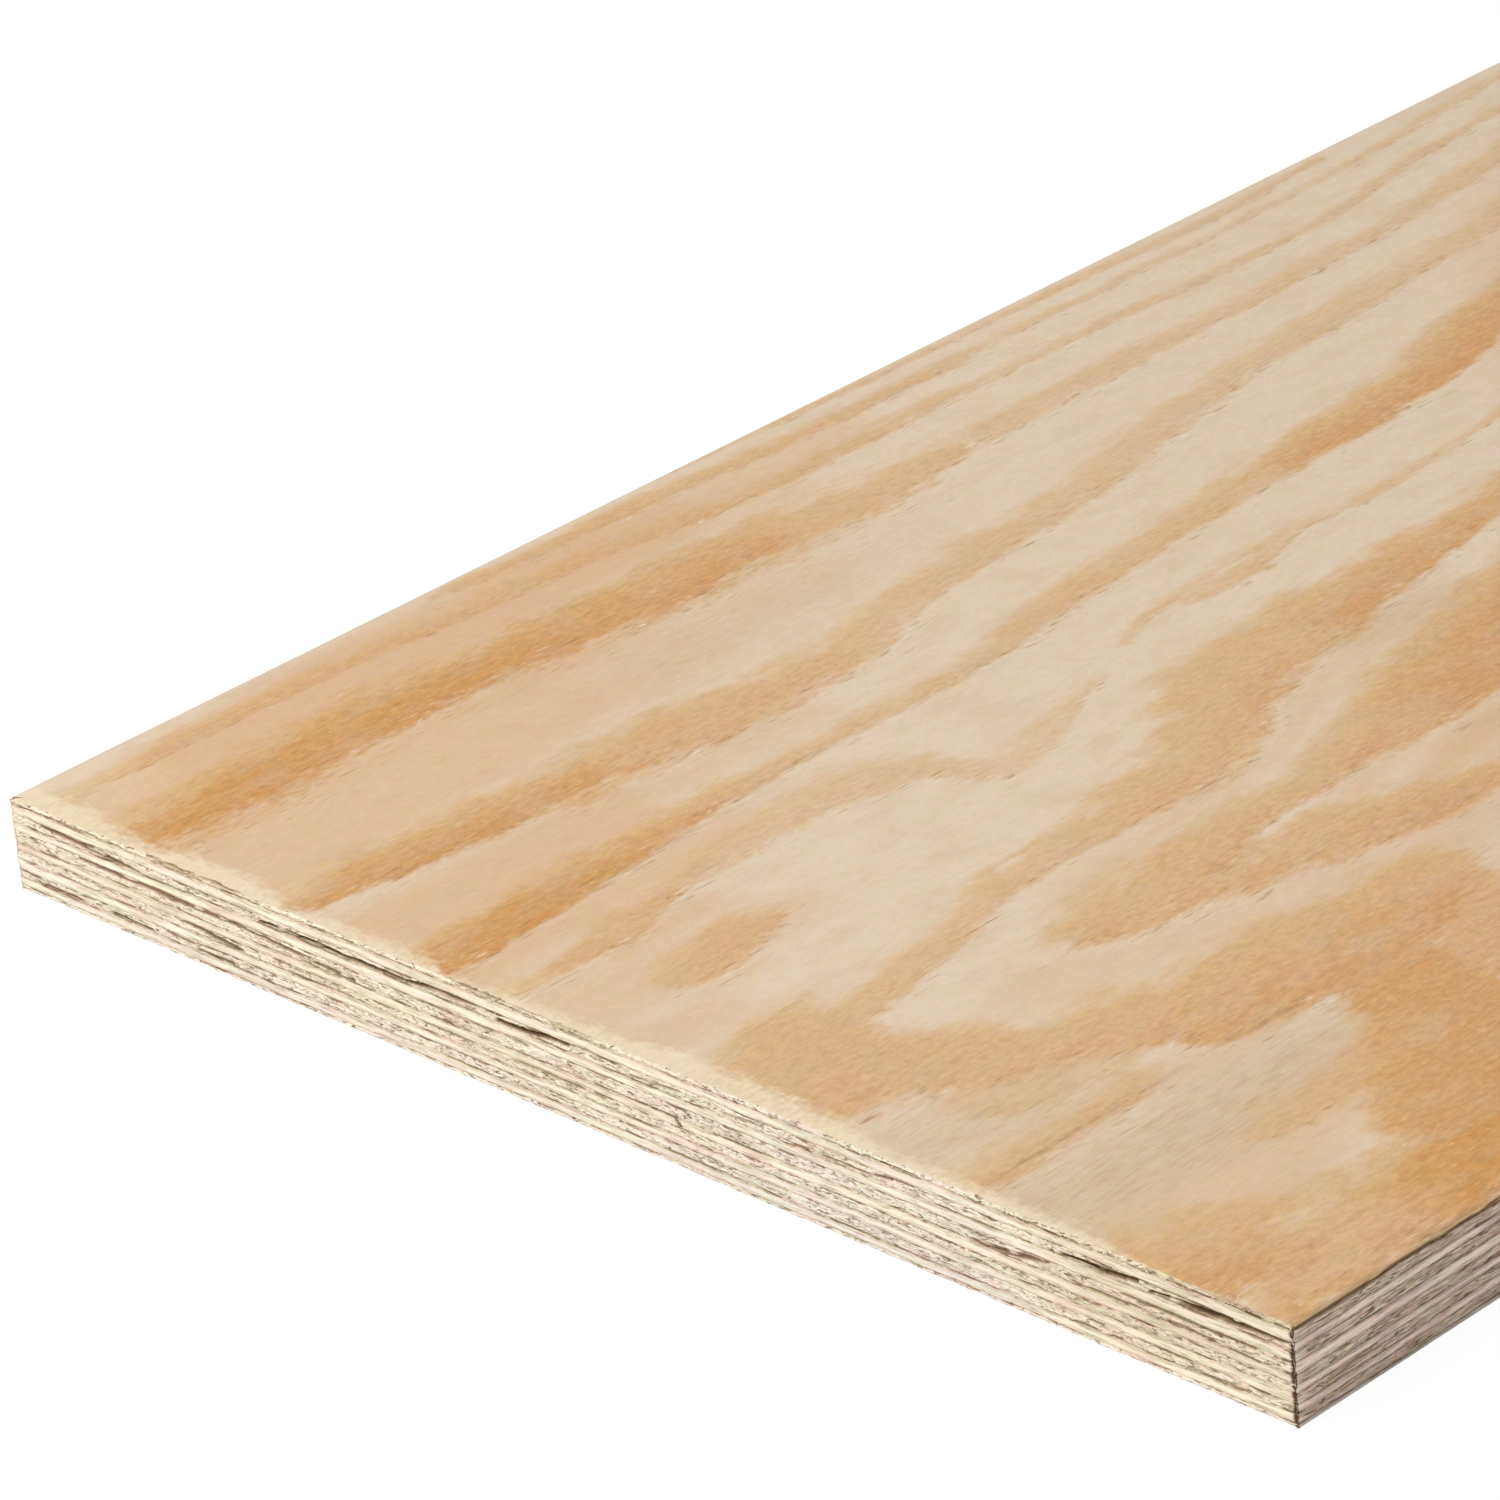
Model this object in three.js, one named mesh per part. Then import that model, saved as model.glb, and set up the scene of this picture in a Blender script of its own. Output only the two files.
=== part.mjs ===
// A plywood panel lying flat: eleven softwood veneers, each laid across its neighbour.
// Millimetres, +Z up. X runs across the panel, Y along it and along the face grain.
import * as THREE from 'three';

// Driving dimensions.
const panelWidth = 300;
const panelLength = 600;

// The outer veneers are thin because they are sanded after pressing.
const faceVeneerThickness = 0.7;
const backVeneerThickness = 0.9;

// Inner veneers from the top down. Cross-bands have their grain along X, long bands along Y.
const crossBandThicknesses = [2.1, 1.9, 1.8, 1.8, 1.7];
const longBandThicknesses = [1.6, 2.2, 1.6, 1.7];

// Sandpaper rounds the arrises of the two faces to this radius.
const arrisRadius = 0.3;
const arrisSegments = 3;

const faceColour = '#d9c0a3';
const longGrainColour = '#c39c74';
const crossGrainColour = '#e3cfaf';
const sandedRoughness = 0.62;
const sawnRoughness = 0.8;

// The outline's corners in order, anticlockwise seen from above.
const corners = [[-1, -1], [1, -1], [1, 1], [-1, 1]];

// Lists the veneers from the top down: a face, then cross-bands and long bands in turn, then a back.
function layup() {
  const inner = crossBandThicknesses.flatMap((thickness, index) => {
    const crossBand = { name: `cross_band_${index + 1}`, thickness, colour: crossGrainColour };
    if (index === longBandThicknesses.length) {
      return [crossBand];
    }
    const longBand = {
      name: `long_band_${index + 1}`,
      thickness: longBandThicknesses[index],
      colour: longGrainColour,
    };
    return [crossBand, longBand];
  });
  return [
    { name: 'face_veneer', thickness: faceVeneerThickness, colour: faceColour, sanded: 'above' },
    ...inner,
    { name: 'back_veneer', thickness: backVeneerThickness, colour: faceColour, sanded: 'below' },
  ];
}

// Gives the outline's inset at each height of a veneer, from its bottom to its top.
function ringsOf(bottom, top, sanded) {
  const steps = Array.from({ length: arrisSegments + 1 }, (_, step) => {
    const angle = (step / arrisSegments) * (Math.PI / 2);
    return { inset: arrisRadius * (1 - Math.cos(angle)), rise: arrisRadius * Math.sin(angle) };
  });
  if (sanded === 'above') {
    const rounded = steps.map(({ inset, rise }) => ({ inset, z: top - arrisRadius + rise }));
    return [{ inset: 0, z: bottom }, ...rounded];
  }
  if (sanded === 'below') {
    const rounded = steps.map(({ inset, rise }) => ({ inset, z: bottom + arrisRadius - rise }));
    return [...rounded.reverse(), { inset: 0, z: top }];
  }
  return [{ inset: 0, z: bottom }, { inset: 0, z: top }];
}

// Lofts a closed rectangular body through its rings. The heights are in the panel's frame, so that
// the faces of two neighbours get the same values and lie on each other exactly.
function veneerGeometry(rings) {
  const positions = rings.flatMap(({ inset, z }) => corners.flatMap(([sideX, sideY]) => [
    sideX * (panelWidth / 2 - inset),
    sideY * (panelLength / 2 - inset),
    z,
  ]));
  const triangles = [0, 2, 1, 0, 3, 2];
  rings.slice(1).forEach((_, ring) => {
    corners.forEach((_, corner) => {
      const low = ring * corners.length + corner;
      const lowNext = ring * corners.length + ((corner + 1) % corners.length);
      const high = low + corners.length;
      const highNext = lowNext + corners.length;
      triangles.push(low, lowNext, highNext, low, highNext, high);
    });
  });
  const lid = (rings.length - 1) * corners.length;
  triangles.push(lid, lid + 1, lid + 2, lid, lid + 2, lid + 3);

  const geometry = new THREE.BufferGeometry();
  geometry.setAttribute('position', new THREE.Float32BufferAttribute(positions, 3));
  geometry.setIndex(triangles);
  geometry.computeVertexNormals();
  return geometry;
}

function veneerMesh({ name, colour, sanded }, bottom, top) {
  const roughness = sanded ? sandedRoughness : sawnRoughness;
  const material = new THREE.MeshStandardMaterial({ color: colour, roughness, metalness: 0 });
  const mesh = new THREE.Mesh(veneerGeometry(ringsOf(bottom, top, sanded)), material);
  mesh.name = name;
  return mesh;
}

// Stacks the veneers from the floor up, with each one's bottom on the top of the one below.
const panel = new THREE.Group();
panel.name = 'plywood_panel';
let height = 0;
for (const veneer of layup().reverse()) {
  const top = height + veneer.thickness;
  panel.add(veneerMesh(veneer, height, top));
  height = top;
}

export default panel;
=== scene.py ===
"""Plywood panel: the looks of its eleven veneers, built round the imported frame."""
import math

import bpy
import numpy as np
from bpy.props import FloatProperty, FloatVectorProperty, IntProperty, PointerProperty
from mathutils import Matrix, Vector


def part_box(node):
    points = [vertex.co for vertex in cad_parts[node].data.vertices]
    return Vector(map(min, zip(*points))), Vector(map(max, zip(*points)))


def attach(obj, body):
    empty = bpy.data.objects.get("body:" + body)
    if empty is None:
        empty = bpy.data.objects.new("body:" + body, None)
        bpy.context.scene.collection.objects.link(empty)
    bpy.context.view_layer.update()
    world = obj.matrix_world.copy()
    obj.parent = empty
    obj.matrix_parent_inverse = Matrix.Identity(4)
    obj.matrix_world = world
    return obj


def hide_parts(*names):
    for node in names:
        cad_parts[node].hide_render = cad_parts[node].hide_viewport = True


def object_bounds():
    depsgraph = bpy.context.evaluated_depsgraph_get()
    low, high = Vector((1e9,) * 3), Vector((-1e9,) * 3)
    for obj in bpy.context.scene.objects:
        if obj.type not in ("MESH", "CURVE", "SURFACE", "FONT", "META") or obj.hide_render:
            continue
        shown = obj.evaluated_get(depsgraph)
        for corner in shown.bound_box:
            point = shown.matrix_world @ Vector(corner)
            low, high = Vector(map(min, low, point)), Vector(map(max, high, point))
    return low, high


bl_info = {
    "name": "Plywood Panel",
    "version": (1, 0, 0),
    "blender": (4, 5, 0),
    "location": "View3D > Sidebar > Plywood",
    "description": "Sawn and sanded softwood veneers, glue lines and splinters of a plywood panel",
    "category": "Add Mesh",
}

MM = 0.001
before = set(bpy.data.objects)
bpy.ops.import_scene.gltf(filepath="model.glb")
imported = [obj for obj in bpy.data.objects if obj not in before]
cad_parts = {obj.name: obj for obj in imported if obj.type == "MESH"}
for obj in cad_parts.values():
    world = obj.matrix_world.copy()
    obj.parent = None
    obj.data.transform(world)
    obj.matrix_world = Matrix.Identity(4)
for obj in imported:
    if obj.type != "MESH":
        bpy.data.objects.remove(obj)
CAD_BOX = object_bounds()
PANEL_LOW = np.array(CAD_BOX[0])
PANEL_HIGH = np.array(CAD_BOX[1])
PANEL_SIZE = PANEL_HIGH - PANEL_LOW

# The veneers from the floor up. The outer two and the long bands have their grain along Y.
VENEERS = sorted(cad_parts, key=lambda node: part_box(node)[0][2])
LEVELS = [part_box(node)[0][2] for node in VENEERS] + [PANEL_HIGH[2]]
TOP = len(VENEERS)

# The panel's four edges, in the order in which a walk round it meets them.
FRONT, RIGHT, BACK, LEFT = range(4)

# A distance past every stain and soft border, in millimetres or in widths of a border.
FAR = 9.0


def linear(hex_colour):
    """Turns an sRGB hex value such as "#decaaf" to linear RGBA."""
    channels = [int(hex_colour[i:i + 2], 16) / 255 for i in (1, 3, 5)]
    return tuple(c / 12.92 if c <= 0.04045 else ((c + 0.055) / 1.055) ** 2.4 for c in channels) + (1.0,)


# ---------------------------------------------------------------- what a user would change

def colour_setting(label, meaning, hex_colour):
    """A colour that a user can change, given as sRGB hex."""
    return FloatVectorProperty(
        name=label, description=meaning, default=linear(hex_colour), size=4, min=0, max=1, subtype="COLOR")


def length_setting(label, meaning, size_mm, least_mm=0.0):
    """A length that a user can change, given in millimetres."""
    return FloatProperty(
        name=label, description=meaning, default=size_mm * MM, min=least_mm * MM,
        subtype="DISTANCE", unit="LENGTH")


def angle_setting(label, meaning, degrees):
    """An angle that a user can change, given in degrees."""
    return FloatProperty(
        name=label, description=meaning, default=math.radians(degrees), subtype="ANGLE", unit="ROTATION")


class VeneerSettings(bpy.types.PropertyGroup):
    """Shape of the sawn edges and the sanded faces."""

    end_step: length_setting(
        "End Step", "Distance between the mesh's columns along the two ends", 0.45, least_mm=0.2)
    side_step: length_setting(
        "Side Step", "Distance between the mesh's columns along the two sides", 0.85, least_mm=0.2)
    row_step: length_setting("Row Step", "Height of a mesh row in a veneer's sawn edge", 0.22, least_mm=0.1)
    face_step: length_setting("Face Step", "Mesh cell across the grain on a sanded face", 1.0, least_mm=0.5)
    arris_radius: length_setting("Arris Radius", "Rounding that sandpaper leaves on the faces' arrises", 0.3)
    arris_chip: length_setting("Arris Chip", "How far the saw breaks the ends' arrises out", 0.55)
    glue_groove: length_setting("Glue Groove", "How far a veneer's edge falls back at its glue line", 0.14)
    glue_wander: length_setting("Glue Wander", "How far a glue line strays from its level", 0.26)
    tear_depth: length_setting("Tear Depth", "Deepest roughness that the saw leaves in end grain", 0.2)
    split_depth: length_setting("Split Depth", "Depth of the darkest open splits", 0.9)
    corner_wear: length_setting("Corner Wear", "How far the upright corners are crushed back", 0.42)
    latewood_relief: length_setting(
        "Latewood Relief", "How far hard latewood stands above sanded earlywood", 0.04)
    seed: IntProperty(name="Seed", description="Fixes everything that looks random", default=11)


class SplinterSettings(bpy.types.PropertyGroup):
    """Slivers that the saw leaves on the ends' arrises, and those that lie loose on the face."""

    count: IntProperty(name="Count", description="Slivers along each arris of an end", default=240, min=1)
    length: length_setting("Length", "Length of the longest sliver", 2.4)
    width: length_setting("Width", "Width of the widest sliver at its root", 0.22)
    thickness: length_setting("Thickness", "Thickness of a sliver", 0.05)
    seed: IntProperty(name="Seed", description="Fixes where the slivers lie", default=5)


class ColourSettings(bpy.types.PropertyGroup):
    """Colours of bare softwood in each kind of cut, of its glue and of the floor."""

    earlywood: colour_setting("Earlywood", "Pale wood between the flames of the face", "#e0cdb8")
    warm_earlywood: colour_setting("Warm Earlywood", "Where the pale wood turns towards honey", "#d8b694")
    straw: colour_setting(
        "Straw Latewood", "Left side of the flames, where the year's latewood sets in", "#d7b37e")
    honey: colour_setting("Honey Latewood", "Right side of the soft flames", "#d6a877")
    amber: colour_setting("Amber Latewood", "The deepest flames", "#d09650")
    # This brown also paints the shadow in the pits between torn fibres of the face.
    growth_line: colour_setting("Growth Line", "Brown border where a year's growth stopped", "#9f7646")
    lifted_fibre: colour_setting(
        "Lifted Fibre", "Torn and lifted fibres, on the face and as slivers", "#f5e6cb")
    fleck: colour_setting("Fleck", "Short bright fibres in the latewood", "#f5d7a6")
    frayed: colour_setting(
        "Frayed End", "The face's last millimetres before an end, frayed by the saw", "#efdec4")
    cross_along: colour_setting(
        "Cross Band, Along", "Cross band sawn along its grain, at the ends", "#f7ebdb")
    # Darker than the long bands' end grain at the ends: partly the veneer's own tone, partly painted shade of
    # end grain in grazing light.
    cross_across: colour_setting(
        "Cross Band, Across", "Cross band sawn across its grain, at the sides", "#d9bfaa")
    long_along: colour_setting("Long Band, Along", "Long band sawn along its grain, at the sides", "#ffe8d8")
    long_across: colour_setting(
        "Long Band, Across", "Long band sawn across its grain, at the ends", "#f6e9d9")
    face_along: colour_setting(
        "Face Veneer, Along", "Face veneer sawn along its grain, at the sides", "#d2b182")
    back_along: colour_setting(
        "Back Veneer, Along", "Back veneer sawn along its grain, at the sides", "#dad2ca")
    face_across: colour_setting(
        "Face Veneer, Across", "Face veneer sawn across its grain, at the ends", "#f0e2cc")
    back_across: colour_setting(
        "Back Veneer, Across", "Back veneer sawn across its grain, at the ends", "#f2e9de")
    glue: colour_setting("Glue", "Cured glue and burnt fibres in splits and glue lines", "#4b2e12")
    fresh_cut: colour_setting("Fresh Cut", "Brightest fibres of the sawn edges", "#fdf1de")
    cool_cast: colour_setting("Cool Cast", "Greyer clouds in the face's colour", "#cdb799")
    rubbed: colour_setting("Rubbed Arris", "Grime on the arrises of the long sides", "#6d5837")
    resin: colour_setting("Resin", "Olive rings and stained fibres in the sawn edges", "#957a52")
    dry_resin: colour_setting("Dry Resin", "Red-brown rings and stained fibres in the sawn edges", "#8d6441")
    knocked: colour_setting("Knocked Corner", "Crushed fibres of an upright corner", "#502c12")
    # Painted light: the paler colour of the lowest veneers' ends and of the ends' brightest stretch.
    pale_painted_light: colour_setting("Bleached Wood", "Where the ends have dried out and gone pale", "#e8e2db")
    floor: colour_setting("Floor", "Paper under the panel", "#f2f1ee")


class StageSettings(bpy.types.PropertyGroup):
    """Camera, lamp and sky."""

    aim: FloatVectorProperty(
        name="Aim", description="Point of the upper face in the middle of the picture",
        default=(-54.5 * MM, -209.4 * MM, 18 * MM), subtype="XYZ", unit="LENGTH")
    distance: FloatProperty(
        name="Camera Distance", description="From the camera to the aim", default=1.3255,
        subtype="DISTANCE", unit="LENGTH")
    lens: FloatProperty(name="Lens", description="Focal length in millimetres", default=180.8)
    turn: angle_setting("Turn", "Camera's turn about the vertical", 46.92)
    tilt: angle_setting("Tilt", "Camera's tilt from looking straight down", 63.45)
    roll: angle_setting("Roll", "Camera's roll about its own view", -5.28)
    key_power: FloatProperty(
        name="Key Power", description="Power of the large soft lamp", default=47.5,
        subtype="POWER", unit="POWER")
    sky_strength: FloatProperty(name="Sky Strength", description="Brightness of the even sky", default=0.5)


# ---------------------------------------------------------------- small helpers

def settings(name):
    """One of this add-on's PropertyGroups on the scene."""
    return getattr(bpy.context.scene, name)


def smooth_step(low, high, value):
    """0 at low, 1 at high, and an even curve between. Low may be the larger of the two."""
    t = np.clip((value - low) / (high - low), 0.0, 1.0)
    return t * t * (3.0 - 2.0 * t)


def lattice_noise(u, v, seed):
    """Smooth noise from 0 to 1 on a lattice of unit cells, for arrays u and v."""
    columns, rows = 256, 64
    grid = np.random.default_rng(seed).random((columns, rows))
    column = np.floor(u).astype(int)
    row = np.floor(v).astype(int)
    along = smooth_step(0.0, 1.0, u - column)
    across = smooth_step(0.0, 1.0, v - row)

    def corner(i, j):
        return grid[(column + i) % columns, (row + j) % rows]

    low = corner(0, 0) * (1 - along) + corner(1, 0) * along
    high = corner(0, 1) * (1 - along) + corner(1, 1) * along
    return low * (1 - across) + high * across


def add_node(tree, kind, inputs=None, output=0, **node_settings):
    """Adds a node, sets it, sets or links its inputs, and returns one of its outputs.

    An input is a value, or the socket that feeds it.
    """
    node = tree.nodes.new(kind)
    for name, value in node_settings.items():
        setattr(node, name, value)
    for key, value in (inputs or {}).items():
        if isinstance(value, bpy.types.NodeSocket):
            tree.links.new(value, node.inputs[key])
        else:
            node.inputs[key].default_value = value
    return node.outputs[output] if node.outputs else node


def new_material(name):
    """An empty material. Returns it, its tree and its Principled shader."""
    material = bpy.data.materials.new(name)
    material.use_nodes = True
    return material, material.node_tree, material.node_tree.nodes["Principled BSDF"]


def link_object(name, data):
    """A new object in the scene."""
    thing = bpy.data.objects.new(name, data)
    bpy.context.scene.collection.objects.link(thing)
    return thing


# ---------------------------------------------------------------- stage

class PLY_OT_stage(bpy.types.Operator):
    """Adds the pale floor, the sky, the soft lamp and the camera"""
    bl_idname = "plywood.stage"
    bl_label = "Stage"

    def execute(self, context):
        chosen = settings("ply_stage")
        add_floor()
        add_sky(chosen.sky_strength)
        add_key_lamp(chosen.key_power)
        add_camera(chosen)
        context.scene.view_settings.view_transform = "Standard"
        return {"FINISHED"}


def seen_directly(tree):
    """1 for a ray from the camera or a mirror image, 0 for light that falls on the panel."""
    path = add_node(tree, "ShaderNodeLightPath").node.outputs
    mirrored = add_node(tree, "ShaderNodeMath", {0: path["Is Glossy Ray"], 1: path["Is Transmission Ray"]},
                        operation="MAXIMUM")
    return add_node(tree, "ShaderNodeMath", {0: path["Is Camera Ray"], 1: mirrored}, operation="MAXIMUM")


def add_floor():
    """A wide floor of white paper that keeps a faint part of the panel's shadow."""
    half = 6.0
    glow_share = 0.92
    glow_strength = 1.03
    mesh = bpy.data.meshes.new("floor")
    corners = [(-half, -half, 0), (half, -half, 0), (half, half, 0), (-half, half, 0)]
    mesh.from_pydata(corners, [], [(0, 1, 2, 3)])
    material, tree, shader = new_material("matt white paper floor")
    shader.inputs["Base Color"].default_value = settings("ply_colours").floor
    shader.inputs["Roughness"].default_value = 0.9
    shader.inputs["Specular IOR Level"].default_value = 0.1
    share = add_node(tree, "ShaderNodeMath", {0: seen_directly(tree), 1: glow_share}, operation="MULTIPLY")
    glow = add_node(tree, "ShaderNodeEmission", {"Strength": glow_strength})
    mix = add_node(tree, "ShaderNodeMixShader", {0: share, 1: shader.outputs[0], 2: glow})
    tree.links.new(mix, tree.nodes["Material Output"].inputs["Surface"])
    mesh.materials.append(material)
    link_object("floor", mesh)


def add_sky(strength):
    """An even sky that lights the panel, and that the camera sees as white."""
    world = bpy.data.worlds.new("studio sky")
    world.use_nodes = True
    tree = world.node_tree
    level = add_node(tree, "ShaderNodeMapRange", {
        "Value": seen_directly(tree), "To Min": strength, "To Max": 1.0})
    background = tree.nodes["Background"]
    background.inputs["Color"].default_value = (1, 1, 1, 1)
    tree.links.new(level, background.inputs["Strength"])
    bpy.context.scene.world = world


def add_key_lamp(power):
    """A large soft lamp ahead of the cut end, high and a little to its left."""
    lamp = bpy.data.lights.new("key lamp", "AREA")
    lamp.shape = "DISK"
    lamp.size = 1.6
    lamp.energy = power
    lamp.color = linear("#fffaf2")[:3]
    lamp_distance = 2.6
    towards_lamp = Vector((-0.22, -0.69, 0.69)).normalized()
    turned = towards_lamp.to_track_quat("Z", "Y").to_matrix().to_4x4()
    link_object("key lamp", lamp).matrix_world = Matrix.Translation(towards_lamp * lamp_distance) @ turned


def add_camera(chosen):
    """The camera looks down on the panel's near corner with a long lens."""
    camera = bpy.data.cameras.new("camera")
    camera.lens = chosen.lens
    camera.clip_end = 30.0
    camera_object = link_object("camera", camera)
    turned = (Matrix.Rotation(chosen.turn, 4, "Z") @ Matrix.Rotation(chosen.tilt, 4, "X")
              @ Matrix.Rotation(chosen.roll, 4, "Z"))
    backwards = Matrix.Translation((0, 0, chosen.distance))
    camera_object.matrix_world = Matrix.Translation(chosen.aim) @ turned @ backwards
    bpy.context.scene.camera = camera_object


# ---------------------------------------------------------------- figure of the sanded faces

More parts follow.
